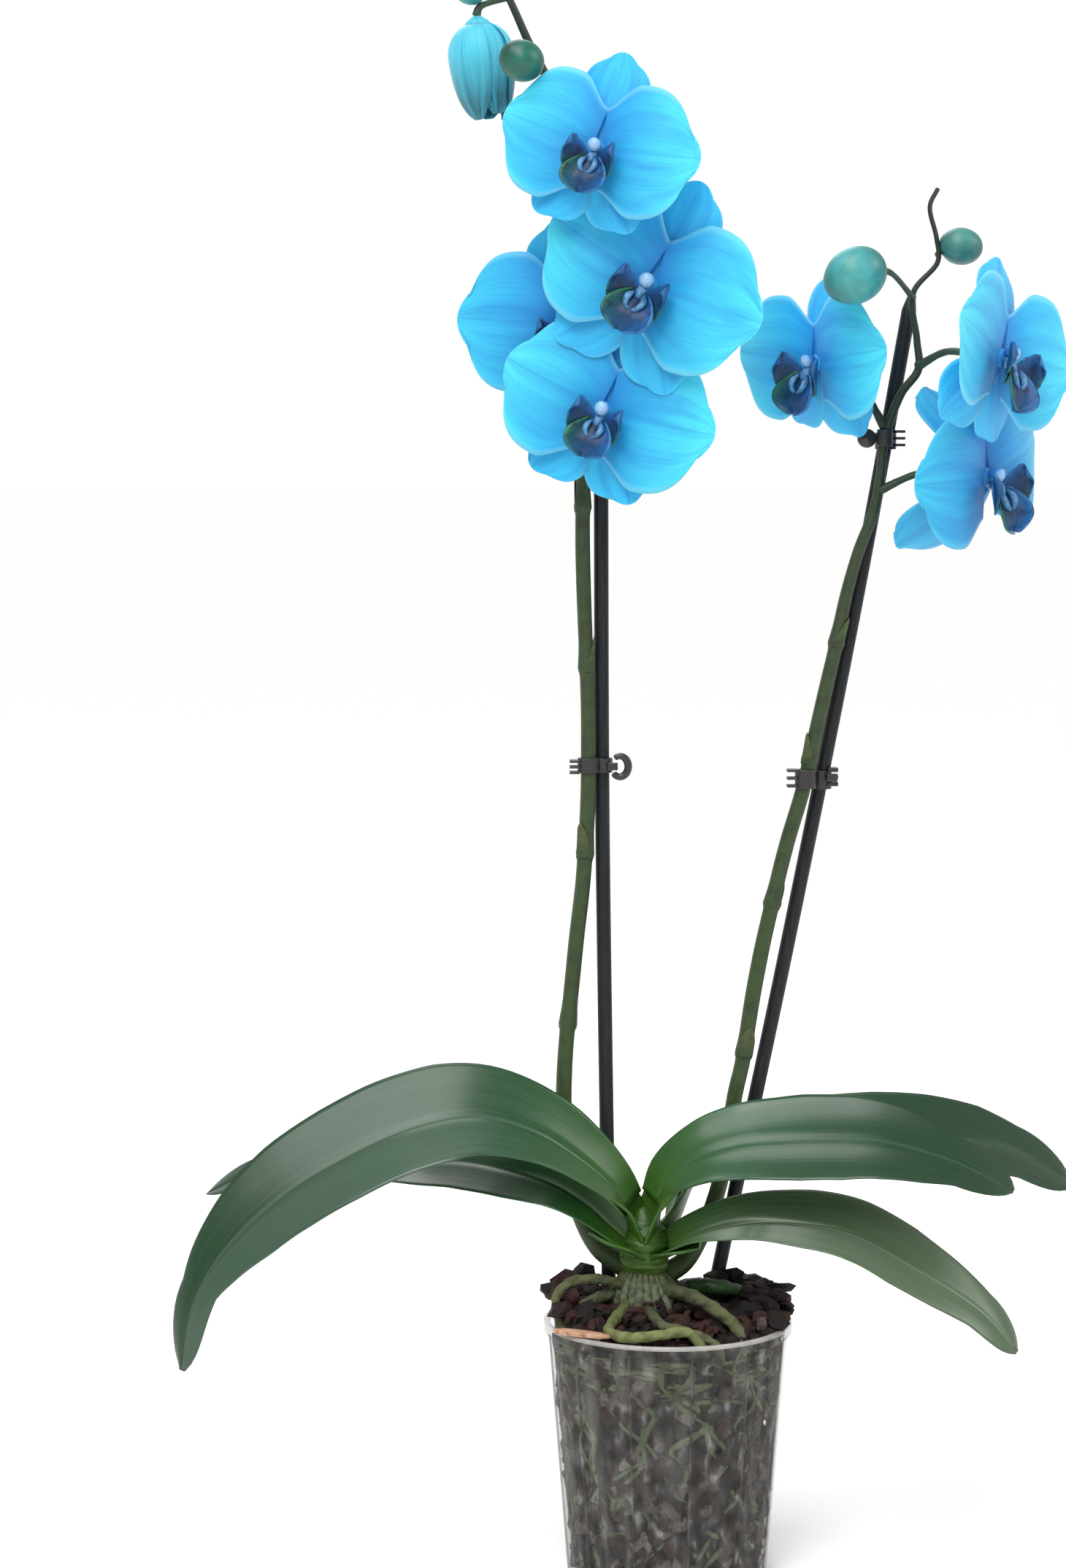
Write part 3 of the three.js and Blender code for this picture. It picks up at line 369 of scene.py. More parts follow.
MATERIAL = {
    "petal": petal_material("dyed_living_petal", "#1274C2", "#1F9ED4", "#48CCE0", "#96DEEC", "#127CBC"),
    "sepal": petal_material("dyed_living_sepal", "#187CC4", "#2AACE4", "#32B4E4", "#74C6E4", "#1A82C4"),
    # Darker copies of the petal and sepal colours for the blooms that sit in shade: painted shade
    "shade_painted_petal": petal_material("dyed_petal_in_shade", "#0E64B2", "#1A8CCA", "#36B2D6", "#84CEE4",
                                 "#106CAC"),
    "shade_painted_sepal": petal_material("dyed_sepal_in_shade", "#146AB0", "#2096CC", "#2EA8D0", "#6CC0DC",
                                 "#166EAE"),
    "callus": grown_material("waxy_callus", [(0.0, "#1E4E86"), (0.4, "#5A90BA"), (1.0, "#2E6C9C")], "#0E3458",
                             2.5, roughness=0.35),
    # The half-open bloom takes its darkest colour at its lower end: painted shade on the lower petals
    "opening": petal_material("dyed_opening_petal", "#4CBAD4", "#48B8D2", "#0F525E", "#4C9CAA", "#1C6C7A",
                              0.25),
    "lip": lip_material(),
    "column": column_material(),
    "bud_left_1": bud_material("waxy_dark_bud", "#08403A", "#106252", "#173F34"),
    "bud_left_2": bud_material("waxy_blue_bud", "#2C7A80", "#3A9490", "#1F5F60"),
    "bud_right_1": bud_material("waxy_pale_bud", "#1C5E5E", "#42989A", "#2A7466"),
    "bud_right_2": bud_material("waxy_grey_bud", "#245C58", "#3E8078", "#2A5F58"),
    "leaf": leaf_material("waxy_orchid_leaf", "#15331E", "#1E4828", "#385E40"),
    # A paler, greyer copy of the leaf colours, for the low leaf at the right
    "pale_leaf": leaf_material("waxy_paler_orchid_leaf", "#46583F", "#3E5838", "#7C8C72"),
    # The front leaf's half towards the viewer takes a painted sheen
    "front_leaf": leaf_material("waxy_front_leaf", "#18371F", "#21452A", "#52685A", 0.34),
    "crown": grown_material("waxy_leaf_sheath", [(0.0, "#40561A"), (0.35, "#33560F"), (1.0, "#2C5016")],
                            "#1E3E0C", 9, roughness=0.4),
    "stem": grown_material("waxy_flower_stem", [(0.0, "#2E4218"), (0.3, "#2E401C"), (0.7, "#2C3A22"),
                                                (1.0, "#262C22")], "#202C16", 7),
    "stalk": grown_material("waxy_flower_stalk", [(0.0, "#2C3A24"), (1.0, "#30503E")], "#243424", 5),
    "bract": grown_material("dry_stem_bract", [(0.0, "#2E401C"), (1.0, "#4C5634")], "#2C3420", 3,
                            roughness=0.7),
    "root": grown_material("spongy_aerial_root", [(0.0, "#2C361C"), (0.5, "#54583A"), (1.0, "#5E6240")],
                           "#1E2416", 6, roughness=0.85, relief=1.4, grain=2.2),
    "loop_root": grown_material("spongy_young_root", [(0.0, "#3E4A22"), (0.5, "#74794A"), (1.0, "#5C663C")],
                                "#3E4824", 5, roughness=0.8, relief=1.0, grain=2.0),
    "wall_root": grown_material("damp_pot_root", [(0.0, "#46562C"), (0.5, "#6A7652"), (1.0, "#4C5E30")],
                                "#2A381C", 4, roughness=0.6),
    "short_root": grown_material("dry_short_root", [(0.0, "#4A5430"), (0.5, "#5E6650"), (1.0, "#3A4028")],
                                 "#23281A", 3, roughness=0.8),
    "green_root": grown_material("waxy_green_root", [(0.0, "#24401A"), (1.0, "#2C4C24")], "#18301A", 5,
                                 roughness=0.45),
    "pot": pot_material(),
    "rim": rim_material(),
    "stake": stake_material(),
    "clip": clip_material(),
    "bark": bark_material(),
    "chip": chip_material(),
    "floor": floor_material(),
}


# Shapes

class Shape:
    """Points, faces and the place of each point on its surface, gathered into one mesh object."""

    def __init__(self):
        self.points = []
        self.faces = []
        self.places = []
        self.slots = []
        self.count = 0

    def gather(self, points, faces, places, slot=0):
        self.points.append(np.asarray(points, float).reshape(-1, 3))
        self.places.append(np.asarray(places, float).reshape(-1, 2))
        self.faces += [[corner + self.count for corner in face] for face in faces]
        self.slots += [slot] * len(faces)
        self.count += len(self.points[-1])

    def take(self, other, move, slot=0, length_share=1.0):
        """Adds another shape's points, moved. length_share keeps it to the start of its colours."""
        places = np.concatenate(other.places) * [length_share, 1]
        self.gather(move(np.concatenate(other.points)), other.faces, places, slot)

    def finish(self, name, materials, finish_slot, nodes, smooth=True):
        """Makes the object, which rides on the root body and stands for the CAD nodes."""
        mesh = bpy.data.meshes.new(name)
        points = np.concatenate(self.points) * MM
        places = np.concatenate(self.places)
        mesh.from_pydata(points.tolist(), [], self.faces)
        layer = mesh.uv_layers.new(name="place")
        corners = np.empty(len(mesh.loops), dtype=np.int32)
        mesh.loops.foreach_get("vertex_index", corners)
        layer.data.foreach_set("uv", places[corners].astype(np.float32).ravel())
        for key in materials:
            mesh.materials.append(MATERIAL[key])
        mesh.polygons.foreach_set("material_index", np.array(self.slots, dtype=np.int32))
        mesh.polygons.foreach_set("use_smooth", np.full(len(mesh.polygons), smooth))
        mesh.update()
        piece = show(name, mesh)
        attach(piece, "root")
        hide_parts(*nodes)
        return piece


GOLDEN_ANGLE = 2.399963


def draws(seed):
    """The same repeatable draw of numbers from 0 to 1 as the solids use."""
    state = seed
    while True:
        state = (state * 1664525 + 1013904223) % 4294967296
        yield state / 4294967296


def along(values, share):
    """Values spread evenly from 0 to 1, read at a share."""
    return np.interp(share, np.linspace(0, 1, len(values)), values)


def smooth_step(low, high, x):
    t = np.clip((x - low) / (high - low), 0, 1)
    return t * t * (3 - 2 * t)


def unit(vectors):
    return vectors / np.maximum(np.linalg.norm(vectors, axis=-1, keepdims=True), 1e-9)


def spin(axis, degrees):
    """A 3 by 3 turn about X, Y or Z."""
    c, s = math.cos(math.radians(degrees)), math.sin(math.radians(degrees))
    return np.array({
        "x": [[1, 0, 0], [0, c, -s], [0, s, c]],
        "y": [[c, 0, s], [0, 1, 0], [-s, 0, c]],
        "z": [[c, -s, 0], [s, c, 0], [0, 0, 1]],
    }[axis])


def mover(turn, centre):
    """Carries points out of a piece's own frame: turned, and then moved to its centre."""
    return lambda points: np.asarray(points, float) @ turn.T + centre


def circle(sides):
    return np.linspace(0, 2 * math.pi, sides, endpoint=False)


def polar(radius, angle, z):
    return [radius * math.cos(angle), radius * math.sin(angle), z]


def rounded(share, start, reach, power=2.0, least=0.0):
    """A share of the width: whole up to start, and rounded off to the end of its reach."""
    return np.sqrt(np.clip(1 - (np.clip(share - start, 0, 1) / reach) ** power, least, 1))


def ring_faces(rows, sides, closed=False):
    """Faces between rows of points that each run round a ring. closed joins the last row to the first."""
    faces = []
    for i in range(rows if closed else rows - 1):
        low, high = i * sides, (i + 1) % rows * sides
        faces += [(low + k, low + (k + 1) % sides, high + (k + 1) % sides, high + k) for k in range(sides)]
    return faces


def capped_faces(rows, sides):
    """The same, with each end closed by one point. The two points follow the rings."""
    faces = ring_faces(rows, sides)
    first, last, top = rows * sides, rows * sides + 1, (rows - 1) * sides
    for k in range(sides):
        m = (k + 1) % sides
        faces += [(first, m, k), (last, top + k, top + m)]
    return faces


def sheet(shape, place, rows, columns, thickness, slot=0):
    """A thin closed sheet. place(s, t) is its middle, s from 0 to 1 along it and t from -1 to 1 across it."""
    s, t = np.meshgrid(np.linspace(0, 1, rows + 1), np.linspace(-1, 1, columns + 1), indexing="ij")
    middle = place(s, t)
    normal = unit(np.cross(np.gradient(middle, axis=1), np.gradient(middle, axis=0)))
    half = (thickness(s, t) if callable(thickness) else np.full_like(s, thickness))[..., None] / 2
    width = columns + 1
    back = (rows + 1) * width
    points = np.stack([middle + normal * half, middle - normal * half])
    where = np.stack([s, (t + 1) / 2], axis=-1)
    faces = []
    for i in range(rows):
        for j in range(columns):
            a = i * width + j
            faces.append((a, a + 1, a + width + 1, a + width))
            faces.append((back + a, back + a + width, back + a + width + 1, back + a + 1))
    edge = [(j, j + 1) for j in range(columns)]
    edge += [(i * width + columns, (i + 1) * width + columns) for i in range(rows)]
    edge += [(rows * width + j, rows * width + j - 1) for j in range(columns, 0, -1)]
    edge += [(i * width, (i - 1) * width) for i in range(rows, 0, -1)]
    faces += [(a, back + a, back + b, b) for a, b in edge]
    shape.gather(points, faces, np.stack([where, where]), slot)


def route(points, steps=400):
    """Evenly spaced points along the same centripetal curve as the solids follow."""
    points = np.array(points, float)
    padded = np.vstack([2 * points[0] - points[1], points, 2 * points[-1] - points[-2]])
    dense = []
    for i in range(len(points) - 1):
        p0, p1, p2, p3 = padded[i:i + 4]
        d0, d1, d2 = [max(np.linalg.norm(b - a), 1e-6) ** 0.5 for a, b in ((p0, p1), (p1, p2), (p2, p3))]
        start = ((p1 - p0) / d0 - (p2 - p0) / (d0 + d1) + (p2 - p1) / d1) * d1
        end = ((p2 - p1) / d1 - (p3 - p1) / (d1 + d2) + (p3 - p2) / d2) * d1
        for t in np.linspace(0, 1, 40, endpoint=False):
            dense.append(p1 + start * t + (3 * (p2 - p1) - 2 * start - end) * t ** 2
                         + (2 * (p1 - p2) + start + end) * t ** 3)
    dense = np.array([*dense, points[-1]])
    run = np.concatenate([[0], np.cumsum(np.linalg.norm(np.diff(dense, axis=0), axis=1))])
    want = np.linspace(0, run[-1], steps + 1)
    return np.stack([np.interp(want, run, dense[:, k]) for k in range(3)], axis=1)


def frames(line):
    """A tangent, and two directions across it that don't twist, at each point of a line."""
    tangents = unit(np.gradient(line, axis=0))
    first = np.cross(tangents[0], [0.13, 0.21, 0.97] if abs(tangents[0][2]) < 0.9 else [1, 0, 0])
    normals = [unit(first)]
    for tangent in tangents[1:]:
        normals.append(unit(normals[-1] - tangent * np.dot(normals[-1], tangent)))
    normals = np.array(normals)
    return tangents, normals, np.cross(tangents, normals)


def upright_frame(line, up):
    """Two directions across a line at each point: one near +Y, and one square to it on the side of up."""
    tangents = unit(np.gradient(line, axis=0))
    level = unit(np.array([0, 1, 0]) - tangents * tangents[:, 1:2])
    upright = np.cross(tangents, level)
    return level, upright * np.sign(upright @ np.array(up, float))[:, None]


def tube(shape, line, radius, sides=14, slot=0, lumps=0.0, seed=1):
    """A round rod along a line of points. radius is a list or a function of the share of its length."""
    tangents, normals, others = frames(line)
    share = np.linspace(0, 1, len(line))[:, None]
    angle = circle(sides)[None]
    size = np.repeat(radius(share) if callable(radius) else along(radius, share), sides, axis=1)
    if lumps:
        swell = np.sin(share * 37 + seed) * np.cos(2 * angle + 5 * share + seed)
        swell += 0.6 * np.sin(share * 83 + 2 * seed + 3 * angle)
        size = size * (1 + lumps * swell)
    ring = np.cos(angle)[..., None] * normals[:, None] + np.sin(angle)[..., None] * others[:, None]
    points = (line[:, None] + ring * size[..., None]).reshape(-1, 3)
    ends = [line[0] - tangents[0] * size[0, 0] * 0.3, line[-1] + tangents[-1] * size[-1, 0] * 0.3]
    where = np.stack(np.broadcast_arrays(share, angle / (2 * math.pi)), axis=-1).reshape(-1, 2)
    where = np.vstack([where, [[0, 0], [1, 0]]])
    shape.gather(np.vstack([points, ends]), capped_faces(len(line), sides), where, slot)


def turned(shape, profile, sides, slot=0, centre=(0, 0), closed=False):
    """A profile of (radius, height) points turned round an upright line. closed joins its ends."""
    radius, height = np.array(profile, float).T[..., None]
    share = np.linspace(0, 1, len(profile))[:, None]
    angle = circle(sides)[None]
    x, y = radius * np.cos(angle) + centre[0], radius * np.sin(angle) + centre[1]
    points = np.stack(np.broadcast_arrays(x, y, height), axis=-1)
    where = np.stack(np.broadcast_arrays(share, angle / (2 * math.pi)), axis=-1)
    shape.gather(points, ring_faces(len(profile), sides, closed), where, slot)


# Stakes

STAKE_ROUTES = {
    "left": [[-26.6, 22, 16], [-28.1, 22, 145], [-31.6, 20, 373], [-32.6, 19, 556]],
    "right": [[0.6, 20, 16], [25.8, 20, 146], [57.5, 19.5, 302], [91, 17.5, 478], [114.9, 16, 616]],
}


def stake_radius(share):
    """The stake's radius, narrowed at its very top."""
    return STAKE_RADIUS * np.sqrt(np.clip((1.0 - share) * 150, 0.25, 1))


def make_stakes():
    for side, points in STAKE_ROUTES.items():
        shape = Shape()
        tube(shape, route(points, 80), stake_radius, 20)
        shape.finish(f"rod_{side}", ["stake"], "stake", [f"stake_{side}"])


# Flower stems, with their stalks

STEM_ROUTES = {
    "left": [
        [-20, 4, 149], [-33, 8, 158], [-43, 12, 176], [-48.5, 15, 199], [-50.1, 17, 224], [-49.4, 18, 249],
        [-44.5, 18, 302], [-40.7, 17, 338], [-38.7, 15.5, 373], [-38.4, 15, 409], [-39.5, 15, 444],
        [-40.9, 15, 479], [-41.3, 15, 513], [-40.6, 16, 541], [-38.6, 17, 569], [-34.4, 18, 600],
        [-32.1, 18, 627.5], [-34.6, 14, 655], [-42, 8, 681.7], [-54.1, 1, 708], [-65.7, -3, 729.5],
        [-75.2, -6, 750], [-82.5, -8, 764],
    ],
    "right": [
        [-1, 3, 146], [8, 7, 151], [15.5, 10, 162], [23.5, 12.5, 181.6], [29.1, 14, 206], [32.6, 14.5, 231],
        [36.4, 14, 249], [41.8, 13, 285], [48.9, 12, 320.5], [57.3, 11, 356], [64.5, 10.5, 381],
        [70.5, 10, 409], [78.3, 10, 444], [84.7, 10, 475], [90.1, 10, 494.5], [97.1, 9, 513.6],
        [100.1, 9, 531], [102, 9, 548], [109.2, 6, 569], [117.2, 5, 580.5], [116.4, 5, 594],
        [114.4, 4, 616.4], [125.7, 3, 631], [124.8, 2, 642], [121.5, 1, 656.7], [125.2, 1, 664.9],
    ],
}
STEM_RADII = {
    "left": [5.6, 4.2, 3.9, 3.8, 3.8, 3.7, 3.7, 3.6, 3.5, 3.5, 3.4, 3.2, 2.8, 2.6, 2.4, 2, 1.5],
    "right": [5.4, 4.2, 3.9, 3.8, 3.8, 3.8, 3.7, 3.7, 3.6, 3.5, 3.4, 3.2, 2.9, 2.4, 2.2, 2, 1.4, 1.2, 1.1],
}
STEM_STEPS = 420
JOINTS = {"left": [0.2, 0.33, 0.47, 0.59], "right": [0.215, 0.35, 0.48, 0.585]}
# shaded=True gives a bloom the darker copies of the petal colours, which are painted shade
BLOOMS = {
    "left_1": dict(hub=(-35.3, -50.4, 679.2), yaw=-16, pitch=4, roll=14, size=0.88, stem=(-43, 7, 684),
                   lip=1.1),
    "left_2": dict(hub=(-11.5, -37.4, 618.8), yaw=-13, pitch=2, roll=27, size=1.01, stem=(-33.2, 16, 642),
                   rise=16, lip=1.1, low_size=1.1),
    "left_3": dict(hub=(-31.5, -24.4, 560.5), yaw=-14, pitch=1, roll=20, size=0.97, stem=(-40, 16.4, 551),
                   rise=-4, lip=1.05),
    "left_4": dict(shaded=True, hub=(-49.5, 1.5, 601), yaw=-12, pitch=0, roll=-4, size=0.96,
                   stem=(-36, 17.7, 589), sweep=-4, lip=1),
    "right_1": dict(hub=(69.5, 4, 583.5), yaw=-47, pitch=-4, roll=10, size=0.86, stem=(101.8, 9, 553), cup=4,
                    sweep=8, lip=1.25, fan=10),
    "right_2": dict(hub=(150.3, -32.8, 585.5), yaw=51, pitch=-2, roll=14, size=0.92, stem=(117, 5, 582),
                    cup=9, sweep=6, lip=1.25),
    "right_3": dict(shaded=True, hub=(147.5, -6.8, 530), yaw=50, pitch=-4, roll=-12, size=0.93,
                    stem=(99, 9, 523), cup=-4, sweep=28, low=(136, -148), lip=1.25, low_size=1.15),
}
BUDS = {
    "left_1": dict(centre=(-70.2, -42, 720.2), half=(10.6, 10, 9.6), turn=(0, 0.4, 0.3), stem=(-62, -2, 722),
                   seat=(0.35, 0.8, -0.1)),
    "left_2": dict(centre=(-95.1, -10, 755.2), half=(8, 6.6, 6.2), turn=(0, 0.5, 0), stem=(-82, -8, 762.5),
                   seat=(0.9, 0.1, 0.3)),
    "right_1": dict(centre=(83.6, -34, 623.1), half=(15.2, 12.6, 13.2), turn=(0, -0.5, 0),
                    stem=(114.4, 4, 614), seat=(0.75, 0.62, 0.1)),
    "right_2": dict(centre=(136.5, 4, 638.2), half=(10.4, 9, 8.8), turn=(0, 0.15, 0), stem=(125.4, 3, 634),
                    seat=(-1, 0, -0.35)),
}
CUP = {"centre": (-88.2, -9, 718), "length": 44, "radius": 15, "tilt": -7, "base": 0.47, "fullest": -0.18,
       "end": 5, "petals": 5, "stem": (-76.5, -6, 752.5)}
CUP_TOP = CUP["length"] * CUP["base"]
CUP_MOVE = mover(spin("y", CUP["tilt"]), CUP["centre"])


def bloom_move(bloom):
    turn = spin("z", bloom["yaw"]) @ spin("x", 90 - bloom["pitch"]) @ spin("z", -bloom["roll"])
    return mover(turn, bloom["hub"])


def bud_turn(bud):
    x, y, z = (math.degrees(value) for value in bud["turn"])
    return spin("x", x) @ spin("y", y) @ spin("z", z)


def stem_radius(side, share):
    """The stem's radius, swollen above each joint."""
    base = along(STEM_RADII[side], share)
    swell = np.zeros_like(base)
    for at in JOINTS[side]:
        swell = np.maximum(swell, np.where(share < at, 1 - (at - share) / 0.006, 1 - (share - at) / 0.02))
    return base + 0.9 * np.clip(swell, 0, 1) ** 1.5


def bract(shape, line, at, radius, turn, slot):
    """A dry scale that clasps the stem above a joint and ends in a point."""
    tangents, normals, others = frames(line)
    last = len(line) - 1

    def place(s, t):
        reach = np.clip(at + 0.028 * s - 0.003, 0, 1) * last
        index = reach.astype(int).clip(0, last - 1)
        part = (reach - index)[..., None]
        centre = line[index] * (1 - part) + line[index + 1] * part
        spread = 1.75 * (1 - s) ** 0.7 * t + turn
        out = np.cos(spread)[..., None] * normals[index] + np.sin(spread)[..., None] * others[index]
        return centre + out * (radius + 0.35 + 0.4 * s ** 2)[..., None]
    sheet(shape, place, 8, 10, 0.5, slot)


def bloom_stalk(shape, bloom, slot):
    move = bloom_move(bloom)
    start = np.array(bloom["stem"])
    before = move([0, 1, -13])
    middle = (start + before) / 2 + [0, 0, bloom.get("rise", 4)]
    line = route([start, middle, before, move([0, 0, HUB_BACK - GAP])], 40)
    tube(shape, line, [2.4, 1.8, 1.7, 1.8, 2.3, 3], 12, slot, 0.03)


def bud_stalk(shape, bud, slot):
    seat = unit(np.array(bud["seat"], float))
    reach = 1 / np.linalg.norm(bud_turn(bud).T @ seat / np.array(bud["half"]))
    start = np.array(bud["stem"])
    end = np.array(bud["centre"]) + seat * (reach + GAP)
    before = end + seat * np.linalg.norm(start - end) * 0.2
    tube(shape, route([start, before, end], 24), [1.6, 1.3, 1.3, 1.9], 10, slot)


def make_spikes():
    stem, stalk, scale = range(3)
    for side in STEM_ROUTES:
        shape = Shape()
        line = route(STEM_ROUTES[side], STEM_STEPS)
        tube(shape, line, lambda u: stem_radius(side, u), 18, stem, lumps=0.02, seed=3)
        for index, at in enumerate(JOINTS[side]):
            bract(shape, line, at, along(STEM_RADII[side], at), 2.4 * index, scale)
        for name, bloom in BLOOMS.items():
            if side in name:
                bloom_stalk(shape, bloom, stalk)
        for name, bud in BUDS.items():
            if side in name:
                bud_stalk(shape, bud, stalk)
        if side == "left":
            end = CUP_MOVE([0, 0, CUP_TOP + CUP["end"] + GAP])
            points = [CUP["stem"], CUP_MOVE([2, 0, CUP_TOP + 9]), end]
            tube(shape, route(points, 24), [1.5, 1.4, 1.5, 2.2], 10, stalk)
        shape.finish(f"stem_{side}", ["stem", "stalk", "bract"], "stem", [f"spike_{side}"])


# Blooms

def tepal_width(u, root, full, tip):
    """A petal's share of its greatest width: root at its foot, whole at full, and rounded to its tip."""
    claw = root + (1 - root) * smooth_step(-0.05, full, u)
    return np.maximum(claw * rounded(u, full, 1 - full, 2.6), np.where(u < full, root, tip))


def petal(shape, turn, bloom, phase, move):
    """A broad petal: it bulges forward, dips along its middle line, and its edge waves."""
    size = bloom["size"]
    length = PETAL["length"] * size
    half = PETAL["width"] / 2 * size

    def place(s, t):
        u = (1 - np.cos(math.pi * s)) / 2
        ridge = np.sin(math.pi * u)
        wave = 1.1 * size * np.sin(2.6 * t + phase) * u * t * t
        ruffle = 0.45 * size * np.sin(9 * t + 7 * u + 2 * phase) * (u * t * t) ** 1.5
        crease = -0.8 * size * np.exp(-(t / 0.07) ** 2) * (1 - u) * np.minimum(6 * u, 1)
        veins = 0.12 * size * np.cos(17 * math.pi * t) * ridge * (1 - t * t)
        dish = 1.7 + 3.6 * ridge - 1.5 * t * t * ridge - 1.4 * u ** 3 - 0.9 * (1 - t * t) * u
        x = half * tepal_width(u, 0.6, 0.38, 0.36) * t
        y = PETAL["root"] + (length - PETAL["root"]) * u - 5.5 * size * t * t * u * u
        z = dish * size + wave + ruffle + crease + veins + bloom.get("cup", 0) * u * u
        return move(np.stack([x, y, z], axis=-1) @ spin("z", turn).T)
    sheet(shape, place, 30, 26, lambda s, t: 0.8 * (1 - 0.55 * t * t) * (1 - 0.4 * s), 0)


def sepal(shape, turn, bloom, phase, move):
    """A narrower outer petal, behind the broad ones."""
    size = bloom["size"]
    length = (SEPAL["low_length"] * bloom.get("low_size", 1) if turn else SEPAL["length"]) * size
    half = SEPAL["width"] / 2 * size
    sweep = bloom.get("sweep", 0)
    shortened = 0.5 * (sweep / length) ** 2

    def place(s, t):
        u = (1 - np.cos(math.pi * s)) / 2
        wave = 0.7 * size * np.sin(2.2 * t + phase) * u * t * t
        keel = -0.7 * size * np.exp(-(t / 0.1) ** 2) * (1 - 0.6 * u) * np.minimum(5 * u, 1)
        x = half * tepal_width(u, 0.45, 0.6, 0.4) * t
        y = PETAL["root"] + (length - PETAL["root"]) * u * (1 - shortened * u) - 4 * size * t * t * u * u
        z = (-0.9 - 3.4 * u - 1.6 * t * t * np.sin(math.pi * u)) * size + wave + keel - sweep * u ** 1.5
        return move(np.stack([x, y, z], axis=-1) @ spin("z", turn).T)
    sheet(shape, place, 24, 16, lambda s, t: 0.8 * (1 - 0.5 * t * t), 1)


LIP_RIDGE = [[2.2, -5, 9], [3.6, -8, 11.4], [2.6, -11, 12.4], [0.8, -12.5, 12.6]]


def lip_lobes(size, move):
    """The lip: a rounded middle lobe that hangs, with a raised callus, between two lobes that stand up."""
    shape = Shape()

    def middle(s, t):
        half = along([4, 8, 10.4, 11.2, 11, 9.6, 7], s) * size * rounded(s, 0.72, 0.29, 2, 0.05)
        keel = 1.1 * np.exp(-(t / 0.18) ** 2) * (1 - s)
        curl = 2.4 * np.abs(t) ** 3 * (0.4 + s)
        z = (6.2 + 6.5 * np.sin(2.2 * s) + 2.2 * t * t * (1 - s) + keel + curl) * size
        return move(np.stack([half * t, (-4 - 18 * s) * size, z], axis=-1))
    sheet(shape, middle, 22, 16, 0.9)
    callus = Shape()
    tube(callus, route([[0, -3.4, SEAT], [0, -3.8, 5.6 * size], [0, -7.5 * size, 8.6 * size]], 14),
         np.array([1.5, 2.9, 2.6, 1.6]) * size, 12)
    for sign in (-1, 1):
        def side(s, t, sign=sign):
            out = sign * (1.7 + 11.8 * np.sin(1.6 * s) - 1.2 * s * t * t - 1.8 * s ** 3 * (1 + t))
            y = -6 + 3 * s + along([3, 7, 8.4, 8.4, 7.4], s) * rounded(s, 0.5, 0.52, 2.4, 0.05) * t
            return move(np.stack([out, y, 7 + 9 * s - 1.5 * s * t * t], axis=-1) * size)
        sheet(shape, side, 16, 14, 0.9)
        ridge = np.array(LIP_RIDGE) * [sign * size, size, size]
        tube(callus, route(ridge, 20), np.array([0.8, 1.5, 1.3, 0.7]) * size, 10)
    shape.take(callus, move, 1)
    return shape


def column_finger(size, move):
    """The column over the lip, with its swollen, pale end."""
    shape, finger = Shape(), Shape()
    line = route([[0, 1.9, SEAT], [0, 2.2, 6.4 * size], [0, 0.8, 11.5 * size]], 18)
    tube(finger, line, np.array([2, 2.1, 2.4, 3.1, 3.6, 3.5, 2]) * size, 16)
    shape.take(finger, move)
    return shape


def make_blooms():
    for index, (name, bloom) in enumerate(BLOOMS.items()):
        move, size = bloom_move(bloom), bloom["size"]
        phases = draws(11 + index * 7)
        shape, heart = Shape(), Shape()
        for angle in (0, *bloom.get("low", (145, -145))):
            sepal(shape, angle, bloom, next(phases) * 6, move)
        for angle in (82, -82):
            petal(shape, angle + bloom.get("fan", 0), bloom, next(phases) * 6, move)
        line = route([[0, 0, HUB_BACK], [0, 0, 0.35], [0, 0, 2.9]], 8)
        tube(heart, line, np.array([3.2, 4.6, 4.8, 4]) * size, 18)
        shape.take(heart, move, 1, 0.1)
        # Blooms marked shaded take the darker copies, which paint shade into their colour
        finishes = ["shade_painted_petal", "shade_painted_sepal"] if bloom.get("shaded") else ["petal", "sepal"]
        shape.finish(f"petals_{name}", finishes, "petal", [f"bloom_{name}_petals"])
        lobes = lip_lobes(size * bloom["lip"], move)
        lobes.finish(f"lip_{name}", ["lip", "callus"], "lip", [f"bloom_{name}_lip"])
        column_finger(size, move).finish(f"column_{name}", ["column"], "column", [f"bloom_{name}_column"])


def make_buds():
    """Each bud is an egg of three sepals that meet in shallow seams."""
    rows, columns = 31, 48
    polar, around = np.meshgrid(np.linspace(0, math.pi, rows), circle(columns), indexing="ij")
    x, flat = np.cos(polar), np.sin(polar)
    seam = 1 - 0.055 * np.clip(np.cos(3 * around), 0, 1) ** 10 * flat
    point = 1 - 0.1 * smooth_step(0.3, 1, -x) * flat
    egg = np.stack([x, np.sin(around) * flat * seam * point, np.cos(around) * flat * seam * point], axis=-1)
    faces = [(a, d, c, b) for a, b, c, d in ring_faces(rows, columns)]
    for name, bud in BUDS.items():
        shape = Shape()
        points = mover(bud_turn(bud), bud["centre"])(egg * bud["half"])
        shape.gather(points, faces, np.stack([(x + 1) / 2, around / (2 * math.pi)], axis=-1))
        shape.finish(f"green_bud_{name}", [f"bud_{name}"], "bud", [f"bud_{name}"])


